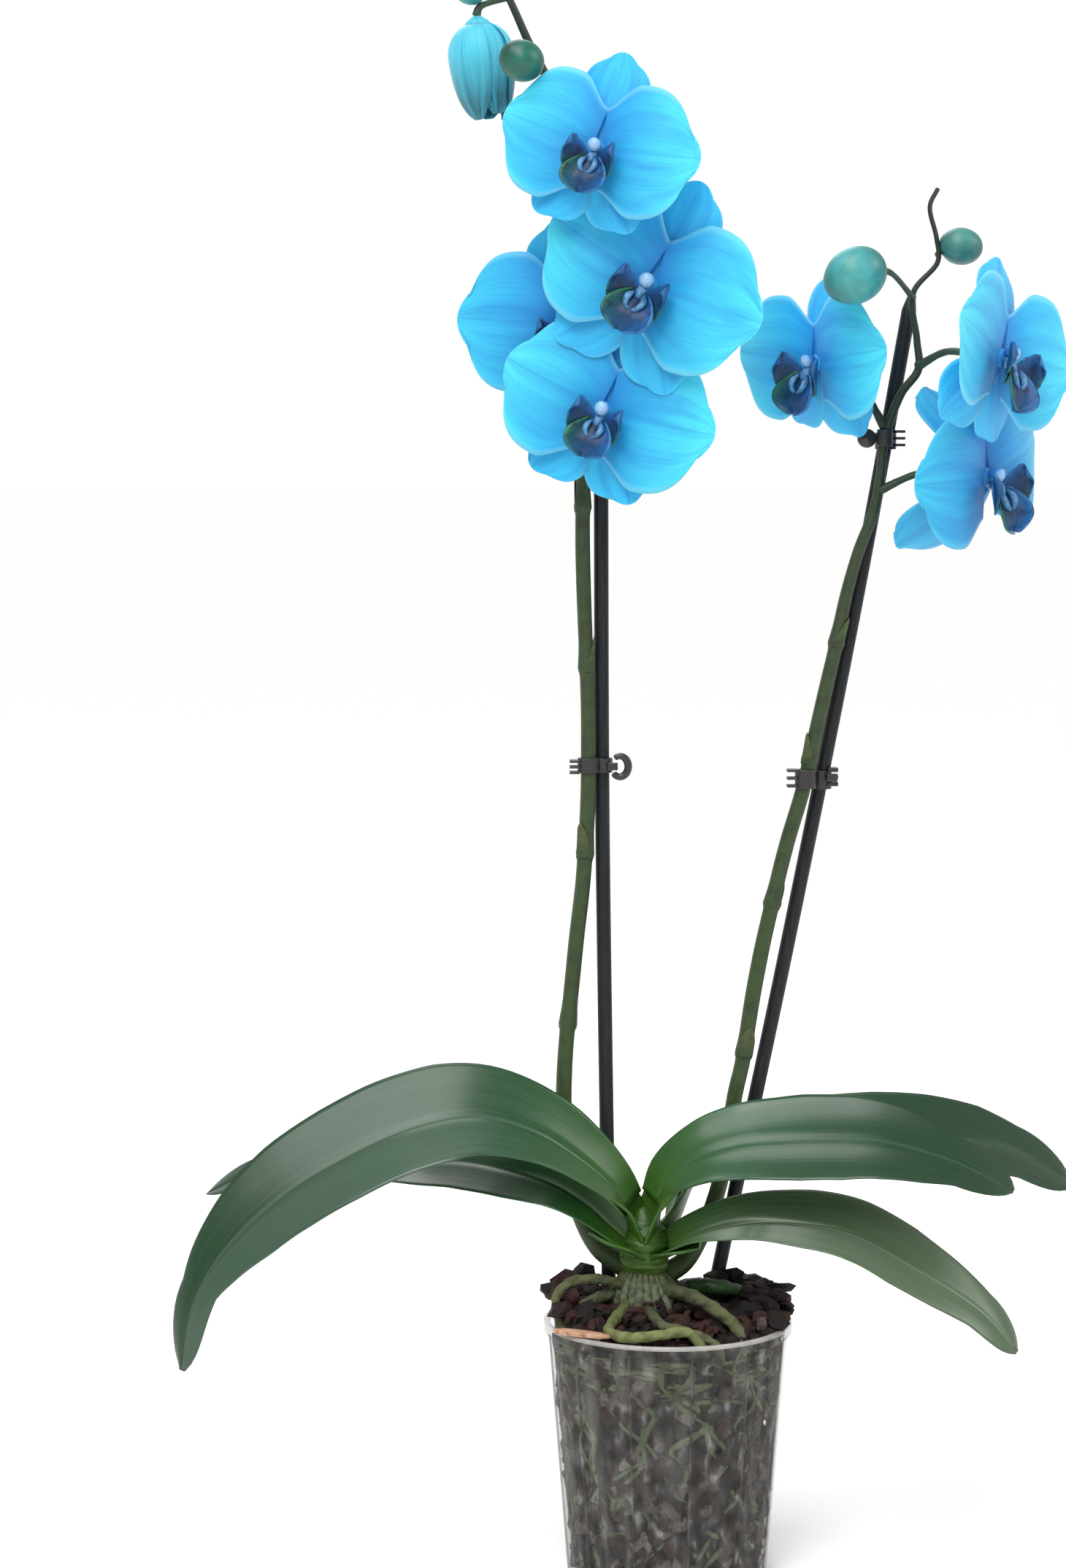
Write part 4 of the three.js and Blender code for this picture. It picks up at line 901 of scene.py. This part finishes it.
def make_opening():
    """The half-open bloom: five petals still cupped round each other."""
    shape, base = Shape(), Shape()
    for index, around in enumerate(circle(CUP["petals"])):
        inner = (2 * index) % CUP["petals"]

        def place(s, t, inner=inner, middle=around + 0.3):
            rise = -0.5 + s * (1.02 - 0.02 * inner)
            steep = np.where(rise < CUP["fullest"], 2.9, 1.27)
            belly = np.sqrt(1 - (steep * (rise - CUP["fullest"])) ** 2)
            angle = middle + 0.9 * rounded(s, 0.55, 0.47, 2.4, 0.04) * t
            flare = (CUP["radius"] - 0.6 * inner) * belly * (1 + 0.05 * t * t)
            x, y = flare * np.cos(angle), flare * np.sin(angle)
            return CUP_MOVE(np.stack([x, y, -rise * CUP["length"]], axis=-1))
        sheet(shape, place, 24, 16, 0.8)
    line = route([[0, 0, CUP_TOP + share * CUP["end"]] for share in (-1, 0, 1)], 10)
    tube(base, line, [3, 5.6, 6.4, 5.6, 2.2], 18)
    shape.take(base, CUP_MOVE, 0, 0.1)
    shape.finish("petals_opening", ["opening"], "petal", ["bloom_left_opening"])


# Leaves, each with the sheath that clasps the crown

LEAVES = {
    "left_front": dict(
        line=[[-19, -5, 180.5], [-28, -7, 192], [-43, -9, 205], [-63, -12, 218], [-92, -15, 226.5],
              [-122.5, -18, 221.5], [-154, -21, 208], [-185, -23, 189], [-212.5, -25, 162.5],
              [-226, -26, 139], [-232.5, -26, 106]],
        half=[12, 17, 21.5, 26, 30, 30.5, 29.5, 27, 22.5, 15, 6.5, 2],
        tilt=[30, 38, 42, 42, 41, 42, 45, 50, 56, 60], channel=[3, 5, 4, 3, 2, 1, 0, -1],
        fold=4, finish="front_leaf"),
    "left_back": dict(
        line=[[-17, -4.5, 161], [-28, -6.5, 171], [-40.4, -6.5, 182.5], [-55.1, -3, 191], [-77.7, 8, 196],
              [-97, 23, 197], [-120.2, 40, 194], [-148.2, 55, 190.5], [-177.8, 66, 185.5],
              [-205, 73, 181], [-228, 78, 170]],
        half=[6, 9.5, 13.5, 16.5, 18.5, 19, 19.5, 20, 19, 16, 11, 2.5],
        tilt=[50, 58, 58, 50, 38, 28, 22, 20, 18, 18], channel=[4, 4, 3, 3, 2, 1], fold=2),
    "right_front": dict(
        line=[[-6, -5, 183], [1, -8, 197], [15, -12, 207], [34, -16, 213.5], [53, -20, 216],
              [76.6, -24, 217.5], [99.4, -28, 217], [129.9, -34, 209.5], [145.5, -37, 203],
              [161, -40, 195]],
        half=[11, 15.5, 20, 23, 25, 25, 23, 19, 13, 2.5], tilt=[28, 40, 45, 44, 42, 40, 38, 36],
        channel=[3, 5, 4, 3, 2, 1], fold=-5),
    "right_back": dict(
        line=[[3, 13, 172], [9, 30, 183], [20, 45, 191], [39.5, 51, 198], [68.6, 53, 203.6],
              [105, 57, 205], [133, 60, 203.5], [158.5, 64, 198.5], [179, 68, 191], [204, 72, 176]],
        half=[7, 9, 16, 23, 26, 27, 26, 24, 17, 2.5], tilt=[0, 14, 26, 28, 30, 32],
        channel=[2, 4, 4, 3, 2, 1], fold=2),
    "right_low": dict(
        line=[[0, -6, 160], [11, -10, 167], [32.7, -15, 174], [54, -19, 175.5], [84.9, -25, 171.5],
              [116, -31, 156], [148, -37, 135.5], [163.5, -40, 118]],
        half=[8, 12, 16, 20, 22, 21, 17, 12, 2.5], tilt=[20, 34, 34, 32, 34, 38, 42],
        channel=[5, 4, 3, 2, 1, 0], fold=3, finish="pale_leaf"),
}
CROWN_FOOT = (-11, 1, 146)
SHEATH_ROWS = 40


def make_leaf(name, leaf):
    """A leaf folded along its middle line, which waves a little towards its tip."""
    line = route(leaf["line"], 300)
    side = 1 if line[0][0] < line[-1][0] else -1
    level, upright = upright_frame(line, (0, 0, 1))
    start = LEAF["tip_start"]

    def at(values, s):
        where = np.clip(s, 0, 1) * (len(line) - 1)
        index = where.astype(int).clip(0, len(line) - 2)
        part = (where - index)[..., None]
        return values[index] * (1 - part) + values[index + 1] * part

    def place(s, t):
        t = side * t
        lean = np.radians(along(leaf["tilt"], s))[..., None]
        width = at(level, s) * np.cos(lean) + at(upright, s) * np.sin(lean)
        normal = at(upright, s) * np.cos(lean) - at(level, s) * np.sin(lean)
        end = along(leaf["half"], start) * rounded(s, start, 1 - start)
        reach = np.maximum(along(leaf["half"], s), np.where(s > start, end, 0))
        wave = 1.2 * np.sin(9 * s + 2 * t) * s * np.abs(t)
        groove = -1.3 * np.exp(-(t / 0.09) ** 2) * np.clip(1.15 - s, 0, 1)
        fold = leaf["fold"] * np.sin(math.pi * np.clip(s, 0, 1) ** 0.7) * (np.abs(t) - 0.5 * t * t)
        rise = along(leaf["channel"], s) * t * t + wave + groove + fold
        return at(line, s) + width * (np.maximum(reach, 1.2) * t)[..., None] + normal * rise[..., None]

    shape = Shape()
    sheet(shape, place, 72, 26, lambda s, t: LEAF["thickness"] * (1.15 - 0.75 * t * t) * (1 - 0.35 * s))
    shape.finish(f"blade_{name}", [leaf.get("finish", "leaf")], "leaf", [f"leaf_{name}"])


def make_crown():
    """The short stem inside the bases of the leaves, each folded lengthwise and wider towards its leaf."""
    shape = Shape()
    foot = np.array(CROWN_FOOT, float)
    core = route([foot, [-11.5, 0, 157], [-11.5, 0, 168], [-12, 0, 179]], 40)
    tube(shape, core, [9.5, 11.5, 12.3, 12, 10.5, 7, 2], 36, 0, 0.05, 3)
    for leaf in LEAVES.values():
        root = np.array(leaf["line"][0], float)
        low = foot + [0.2 * (root[0] - foot[0]), 0.3 * (root[1] - foot[1]), 1]
        middle = low + 0.55 * (root - low) + [0, 0, 3]
        line = route([low, middle, root, route(leaf["line"], 100)[9]], SHEATH_ROWS)
        side = -1 if leaf["line"][-1][0] < 0 else 1
        level, inward = upright_frame(line, (-side, 0, 1))

        def place(s, t, side=side, line=line, level=level, inward=inward, tilt=leaf["tilt"][0]):
            row = np.rint(s * SHEATH_ROWS).astype(int)
            lean = np.radians(tilt * s)[..., None]
            across = level[row] * np.cos(lean) + inward[row] * np.sin(lean)
            up = inward[row] * np.cos(lean) - level[row] * np.sin(lean)
            half = along([4, 8, 11, 12, 10], s)
            clasp = along([8, 7.5, 6.5, 4, 1], s) * (0.55 * np.abs(t) + 0.45 * t * t)
            return line[row] + across * (half * side * -t)[..., None] + up * (clasp - 2.4)[..., None]
        sheet(shape, place, SHEATH_ROWS, 16, lambda s, t: 2.6 * (1 - 0.5 * t * t))
    shape.finish("leaf_sheaths", ["crown"], "crown", ["crown"])


# Roots

TOP_ROOTS = [
    ([[-8, -4, 138], [1, -11, 141], [12, -19, 139.5], [22, -26, 135], [31, -30, 128], [35.5, -34, 118],
      [35, -34, 106]], [4, 3.9, 3.6, 3.4, 3.2]),
    ([[-16, -6, 136], [-24, -22, 132], [-29, -38, 127.5], [-20, -46, 126.5], [-6, -47.5, 128], [8, -47, 129],
      [14, -50, 122], [13, -49, 110]], [3.4, 3.1, 2.9, 2.8]),
    ([[-12, -8, 136], [-8, -24, 132], [-3, -36, 129.5], [10, -40, 127], [22, -44, 121], [24, -45, 110]],
     [3.3, 2.8, 2.6]),
    ([[-16, -2, 137], [-31, -9, 138], [-44, -14, 132], [-49, -16, 121], [-47, -16, 108]], [3.6, 3, 2.8]),
    ([[-4, 10, 136], [-2, 26, 136], [4, 38, 131], [10, 46, 122], [10, 45, 110]], [3.4, 3, 2.8]),
    ([[-15, -4, 138], [-24, -9, 144], [-36, -12, 147], [-48, -14, 145.5], [-54, -15, 138], [-51, -15, 122]],
     [3, 2.8, 2.6, 2.4]),
]
GREEN_ROOT_LINE = [[4, 14, 137], [14, 6, 139.5], [25, 3, 139.5], [35, 6, 136.5], [42, 10, 128]]
STOCK = [(0.01, 127), (7, 128), (9.4, 131), (10, 135), (9.4, 140), (8.5, 145.4), (0.01, 145.6)]
ROOT_COUNTS = {"short": 11, "ribs": 15, "wall": 34, "bits": 240}
BIT_HEIGHTS = (4, 116)
LOOP_ROOT = 1
THINNED = 0.85
ROOT_FINISHES = ["root", "wall_root", "green_root", "short_root", "loop_root"]
ROOT = {name: index for index, name in enumerate(ROOT_FINISHES)}


def wall_root(number):
    """A root that goes down against the inside of the wall, winding as it goes."""
    draw = draws(300 + number)
    angle = 2 * math.pi * (number + 0.8 * next(draw)) / ROOT_COUNTS["wall"]
    radius = 0.8 + 1.2 * next(draw) ** 2
    top = 122 - 40 * next(draw) ** 2
    low = 8 + (top - 30) * next(draw) ** 1.5
    drift = 1.2 * (next(draw) - 0.5)
    phase = 6 * next(draw)
    points = []
    for share in np.arange(9) / 8:
        z = top + (low - top) * share
        wind = 0.13 * math.sin(6 * share + phase) + 0.06 * math.sin(15 * share + 2 * phase)
        reach = inner_radius(z) - radius - 0.35 - 0.4 * (1 + math.sin(9 * share + phase))
        points.append(polar(reach, angle + drift * share + wind, z))
    return points, radius


def root_bit(shape, draw, number):
    """A short piece of root near the wall, lying nearly level if it is high up and steeper if it is low."""
    angle = number * GOLDEN_ANGLE
    high = number % 5 < 3
    z = 116 - 20 * next(draw) if high else 5 + 45 * next(draw)
    turn = (1.5 if high else 0.6) * (next(draw) - 0.5)
    lean = (12 if high else 34) * (next(draw) - 0.5)
    points = []
    for share in (0, 0.4, 0.7, 1):
        height = min(max(z + lean * (share - 0.5), BIT_HEIGHTS[0]), BIT_HEIGHTS[1])
        reach = inner_radius(height) - 1.8 - 1.3 * next(draw)
        points.append(polar(reach, angle + turn * share, height))
    size = 0.7 + 0.9 * next(draw)
    tube(shape, route(points, 16), [0.5 * size, size, size, 0.4 * size], 7, ROOT["wall_root"], 0.1, number)


def bowed(start, end, angle, push, steps):
    """A line from start to end that bends outwards and up on its way."""
    middle = (np.array(start) + end) / 2 + polar(push, angle, 2)
    return route([start, middle, end], steps)


def make_roots():
    shape = Shape()
    turned(shape, STOCK, 32, centre=(-12, 0))
    for index, (line, radii) in enumerate(TOP_ROOTS):
        finish = ROOT["loop_root" if index == LOOP_ROOT else "root"]
        tube(shape, route(line, 120), np.array(radii) * THINNED, 18, finish, 0.12, index + 2)
    tube(shape, route(GREEN_ROOT_LINE, 50), [3, 4, 3.8, 3, 2], 16, ROOT["green_root"], 0.08, 9)
    draw = draws(77)
    for index in range(ROOT_COUNTS["short"]):
        angle = -2.9 + index * 0.47 + 0.2 * next(draw)
        reach = 16 + 9 * next(draw)
        start = [-12 + 6 * math.cos(angle), 6 * math.sin(angle), 141 - 3 * next(draw)]
        end = [-11 + reach * math.cos(angle), reach * math.sin(angle), 126 + 3 * next(draw)]
        line = bowed(start, end, angle, 3, 24)
        tube(shape, line, [2.6, 2.4, 2.2, 1.8], 14, ROOT["short_root"], 0.08, index)
    for index in range(ROOT_COUNTS["ribs"]):
        angle = -3.3 + index * 0.26
        start = [-12 + 8 * math.cos(angle), 8 * math.sin(angle), 150]
        end = [-11 + (14 + 3 * next(draw)) * math.cos(angle), 15 * math.sin(angle), 122 + 4 * next(draw)]
        line = bowed(start, end, angle, 2.5, 30)
        tube(shape, line, [0.9, 1.9, 2.3, 2.2, 1.6], 12, ROOT["short_root"], 0.14, index)
    for number in range(ROOT_COUNTS["wall"]):
        line, radius = wall_root(number)
        radii = [radius, radius * 1.1, radius, 0.8 * radius, 0.5 * radius]
        tube(shape, route(line, 60), radii, 8, ROOT["wall_root"], 0.08, number)
    for number in range(ROOT_COUNTS["bits"]):
        root_bit(shape, draw, number)
    shape.finish("grown_roots", ROOT_FINISHES, "root", ["roots"])


# Pot

POT_SIDES = 128
WALL_ROWS = 8
LIP_HEIGHT = 1.8
RIBS = {"count": 12, "radius": 0.6, "proud": 0.05, "turn": 0.32}
BASE_LIFT = 0.9
DRAINS = {"count": 6, "radius": 4, "circle": 30, "sides": 64}
# The base has its drain holes between these two circles
DRAIN_BAND = (24, 36)


def drain_plate(shape):
    """The part of the pot's base that its drain holes go through, with the walls of the holes."""
    for number in range(DRAINS["count"]):
        middle = 2 * math.pi * (number + 0.5) / DRAINS["count"]
        edge, hole = [], []
        for way in circle(DRAINS["sides"]):
            out, side = math.cos(way), math.sin(way)
            most = max(abs(out), abs(side))
            radius = DRAINS["circle"] + (DRAIN_BAND[1] - DRAINS["circle"]) * out / most
            angle = middle + math.pi / DRAINS["count"] * side / most
            edge.append(polar(radius, angle, BASE_LIFT))
            hole.append([DRAINS["circle"] + DRAINS["radius"] * out, DRAINS["radius"] * side, BASE_LIFT])
        hole = np.array(hole) @ spin("z", math.degrees(middle)).T
        top = hole + [0, 0, POT["floor"] - BASE_LIFT]
        shape.gather([top, hole, edge], ring_faces(3, DRAINS["sides"]), np.zeros((3 * DRAINS["sides"], 2)))


def make_pot():
    """The clear wall with its ribs as one skin, on a foot ring, and the thin lip as a band in the rim's
    finish.
    """
    shape = Shape()
    base, rim, height = POT["base"], POT["rim"], POT["height"]
    rim_foot, lip_foot = height - POT["rim_height"], height - LIP_HEIGHT
    turned(shape, [(0.01, BASE_LIFT), (DRAIN_BAND[0], BASE_LIFT)], POT_SIDES)
    drain_plate(shape)
    outer = [(DRAIN_BAND[1], BASE_LIFT), (base - 7, BASE_LIFT), (base - 6, 0), (base - 1, 0), (base, 1)]
    outer += [(base + (POT["top"] - 0.5 - base) * k / WALL_ROWS, 1 + (rim_foot - 1) * k / WALL_ROWS)
              for k in range(1, WALL_ROWS + 1)]
    turned(shape, outer, POT_SIDES)
    band = [(POT["top"] - 0.5, rim_foot), (rim - 0.3, rim_foot + 0.5), (rim, rim_foot + 1.1), (rim, lip_foot)]
    turned(shape, band, POT_SIDES)
    inner = inner_radius(height)
    lip = [(rim, lip_foot), (rim, height - 0.8), (rim - 0.35, height - 0.25), (rim - 1, height),
           (inner + 0.6, height), (inner, height - 0.5), (inner_radius(lip_foot), lip_foot)]
    turned(shape, lip, POT_SIDES, 1)
    for number in range(RIBS["count"]):
        angle = 2 * math.pi * (number + RIBS["turn"]) / RIBS["count"]
        line = [polar(wall_radius(z) + RIBS["proud"], angle, z) for z in (4, 40, 80, rim_foot)]
        tube(shape, route(line, 12), [RIBS["radius"]] * 2, 8)
    shape.finish("clear_pot", ["pot", "rim"], "pot", ["pot"])


# Bark

BARK = {"wall_chips": 900, "top_chips": 260, "top_reach": 56, "core": 6.5, "lowest": POT["floor"] + 0.6}
# Chips that stand out on top: x, y, z, size, and tone from black through red brown to grey
HIGH_CHIPS = [
    (-55, 6, 137, 13, 0.1), (-49, 18, 138, 15, 0.62), (-51, -6, 131, 12, 0.05), (-44, 8, 135, 16, 0.7),
    (-40, 28, 140, 15, 0.15), (-46, -8, 130, 15, 0.66), (-36, -2, 132, 14, 0.6), (-45, -18, 126, 12, 0.3),
    (50, 24, 132, 14, 0.62), (56, 6, 129, 11, 0.8), (44, 33, 134, 14, 0.1), (54, -6, 127, 10, 0.82),
    (42, 12, 134, 17, 0.72), (46, -2, 130, 14, 0.66), (49, 12, 133, 12, 0.6), (57, -1, 130, 8, 0.0),
    (24, 15, 141, 12, 0.0), (31, 17, 141, 11, 0.05), (36, 26, 137, 13, 0.1),
    (47, -25, 123, 12, 0.4), (40, -32, 121, 11, 0.2), (26, 12, 133, 14, 0.3), (36, 10, 132, 14, 0.65),
]


def fill_top(x, y):
    """The height of the filling: a mound in the middle, and a bank at both sides."""
    cx, cy = FILL["centre"]
    heap = 1 - smooth_step(0, BARK["top_reach"], np.hypot(x - cx, y - cy))
    bank = FILL["bank"] * smooth_step(24, 50, np.abs(x)) * smooth_step(-35, -10, y)
    rough = 1.6 * np.sin(x * 0.31 + 1) * np.sin(y * 0.27 + 2)
    return FILL["edge"] + (FILL["mound"] - FILL["edge"]) * heap + bank + rough


def bark_piece(shape, draw, centre, size, turn, tone):
    """One chip: a split flake with a ragged outline, its faces bent and pushed out."""
    count = 7
    points = []
    for height, share in ((-0.5, 0.8), (0.0, 1.05), (0.5, 0.78)):
        for k in range(count):
            angle = 2 * math.pi * (k + 0.5 * next(draw)) / count
            reach = share * (0.62 + 0.5 * next(draw)) / 2
            points.append(polar(reach, angle, height + 0.3 * (next(draw) - 0.5)))
    points += [[0, 0, -0.55], [0, 0, 0.5 + 0.35 * next(draw)]]
    points = mover(turn, centre)(np.array(points) * size)
    points[:, 2] = np.maximum(points[:, 2], BARK["lowest"])
    shape.gather(points, capped_faces(3, count), np.tile([tone, next(draw)], (len(points), 1)))


def tumbled(draw, degrees):
    """A chip's turn: any way round, and tipped by up to half of so many degrees to each side."""
    return (spin("z", 360 * next(draw)) @ spin("x", degrees * (next(draw) - 0.5))
            @ spin("y", degrees * (next(draw) - 0.5)))


def make_bark():
    """A dark core, chips that lie flat against the wall, chips heaped on top, and the ones that stand out."""
    draw = draws(41)
    shape = Shape()
    foot = [(0.01, 2.4), (inner_radius(3) - BARK["core"], 2.4)]
    side = [(inner_radius(z) - BARK["core"], z) for z in (40, 80, 112)]
    turned(shape, [*foot, *side, (40, 117), (20, 126), (0.01, 130)], 64)
    shape.places[-1][:] = [0.12, 0.5]
    for number in range(BARK["wall_chips"]):
        z = 4 + 114 * next(draw)
        angle = number * GOLDEN_ANGLE
        size = [6 + 11 * next(draw), 4 + 7 * next(draw), 2 + 2 * next(draw)]
        reach = inner_radius(z) - 2.2 - 1.5 * next(draw)
        turn = spin("z", math.degrees(angle)) @ spin("y", 90 + 24 * (next(draw) - 0.5))
        turn = turn @ spin("z", 180 * next(draw))
        bark_piece(shape, draw, polar(reach, angle, z), size, turn, next(draw))
    for number in range(BARK["top_chips"]):
        reach = BARK["top_reach"] * math.sqrt((number + 0.5) / BARK["top_chips"])
        angle = number * GOLDEN_ANGLE + 0.4
        x, y, _ = polar(reach, angle, 0)
        front = smooth_step(-18, -40, y)
        x, y = x * (1 - 0.1 * front), y * (1 - 0.12 * front)
        big = (7 + 11 * next(draw)) * (1 - 0.35 * front)
        size = [big, big * (0.5 + 0.3 * next(draw)), 3 + 3.5 * next(draw)]
        lift = 1 + 3 * next(draw) * smooth_step(-50, -30, y)
        turn = tumbled(draw, 50)
        bark_piece(shape, draw, [x, y, fill_top(x, y) + lift], size, turn, 0.88 * next(draw) ** 1.3)
    for x, y, z, big, tone in HIGH_CHIPS:
        size = [1.25 * big, 0.9 * big, 0.5 * big]
        bark_piece(shape, draw, [x, y, z], size, tumbled(draw, 60), tone)
    shape.finish("bark_chips", ["bark"], "bark", ["bark"], smooth=False)


WOOD_CHIP = [(-14, -2.5), (-9, -3.6), (-3, -4.2), (5, -3.7), (12, -2.6), (15, 0.5), (9, 2.2), (3, 3.8),
             (-4, 3.1), (-11, 2)]


def make_wood_chip():
    count = len(WOOD_CHIP)
    points = []
    for height, share in ((0, 0.96), (0.5, 1.0), (1.6, 1.0), (2.2, 0.9)):
        points += [[x * share, y * share, height + 0.25 * math.sin(1.7 * x)] for x, y in WOOD_CHIP]
    points = mover(spin("z", math.degrees(-0.5)), [-42, -38, POT["height"] + GAP + 0.25])(points)
    ends = [tuple(range(count))[::-1], tuple(3 * count + k for k in range(count))]
    shape = Shape()
    shape.gather(points, ends + ring_faces(4, count), points[:, :2] * 0.01)
    shape.finish("pale_wood_chip", ["chip"], "chip", ["wood_chip"], smooth=False)


# Clips

CLIPS = {
    "left": dict(side="left", height=391, wide=7, grip=1, handle="hook"),
    "right_low": dict(side="right", height=386, wide=9, grip=1, handle="block"),
    "right_high": dict(side="right", height=548, wide=8, grip=-1, handle="knob"),
}
CLIP_WALL = 1.3
CLIP_EDGE = 0.3
BLOCK_FACES = [(0, 1, 3, 2), (4, 6, 7, 5), (0, 4, 5, 1), (2, 3, 7, 6), (0, 2, 6, 4), (1, 5, 7, 3)]


def block(shape, centre, size):
    corners = np.array([[x, y, z] for x in (-1, 1) for y in (-1, 1) for z in (-1, 1)], float)
    shape.gather(corners * np.array(size) / 2 + centre, BLOCK_FACES, corners[:, :2])


def clip_ring(shape, centre, inner, wide):
    """A flat band round a rod, standing upright."""
    x, y, z = centre
    low, high = z - wide / 2, z + wide / 2
    section = [(inner, low), (inner + CLIP_WALL, low), (inner + CLIP_WALL, high), (inner, high)]
    turned(shape, section, 32, centre=(x, y), closed=True)


def clip_handle(shape, handle, far, front, height):
    if handle == "knob":
        line = np.linspace([far, front - 2, height], [far, front + 2, height], 5)
        tube(shape, line, [4.2, 4.6, 4.6, 4.2], 24)
    if handle == "hook":
        angle = np.linspace(-2.4, 2.2, 24)
        bend = np.stack([far + 4 * np.cos(angle), np.full(24, front), height + 5 * np.sin(angle)], axis=1)
        tube(shape, bend, [1.6, 1.9, 1.9, 1.4], 12)


def make_clips():
    """A ring round the stem and one round the stake, with teeth on one side and a handle on the other."""
    for name, clip in CLIPS.items():
        height, wide, grip, side = clip["height"], clip["wide"], clip["grip"], clip["side"]
        stem_line, stake_line = route(STEM_ROUTES[side], STEM_STEPS), route(STAKE_ROUTES[side], 200)
        stem_at = int(np.argmin(np.abs(stem_line[:, 2] - height)))
        stem = stem_line[stem_at]
        stake = stake_line[int(np.argmin(np.abs(stake_line[:, 2] - height)))]
        shape = Shape()
        clip_ring(shape, stem, along(STEM_RADII[side], stem_at / STEM_STEPS) + GAP, wide)
        clip_ring(shape, stake, STAKE_RADIUS + GAP, wide)
        outer, inner = sorted([stem, stake], key=lambda p: -grip * p[0])
        front = ((stem + stake) / 2)[1] - 2
        clip_handle(shape, clip["handle"], outer[0] + grip * 8.5, front, height)
        if clip["handle"] == "block":
            for row in (-1, 0, 1):
                block(shape, [outer[0] + grip * 5.5, outer[1] - 2, height + row * 3.4], (5, 6, 2))
        block(shape, [outer[0] + grip * 5, front, height], (5, 2.4, 3.6))
        for row in (-1, 0, 1):
            z = height + row * (wide / 2 - 0.8)
            block(shape, [inner[0] - grip * 6.6, inner[1] - 1, z], (5, 6.4, CLIP_WALL))
        piece = shape.finish(f"stem_clip_{name}", ["clip"], "clip", [f"clip_{name}"], smooth=False)
        bevel = piece.modifiers.new("soft_edges", "BEVEL")
        bevel.width = CLIP_EDGE * MM
        bevel.segments = 2
        bevel.limit_method = "ANGLE"


FLOOR_REACH = 30


def make_floor():
    mesh = bpy.data.meshes.new("floor")
    corners = [(-1, -1), (1, -1), (1, 1), (-1, 1)]
    mesh.from_pydata([(x * FLOOR_REACH, y * FLOOR_REACH, 0) for x, y in corners], [], [(0, 1, 2, 3)])
    mesh.materials.append(MATERIAL["floor"])
    floor = show("floor", mesh)


set_camera()
set_room()
set_lights()
make_floor()
make_stakes()
make_spikes()
make_blooms()
make_buds()
make_opening()
for leaf_name, leaf_shape in LEAVES.items():
    make_leaf(leaf_name, leaf_shape)
make_crown()
make_roots()
make_pot()
make_bark()
make_wood_chip()
make_clips()
bpy.context.scene.view_settings.view_transform = "Standard"
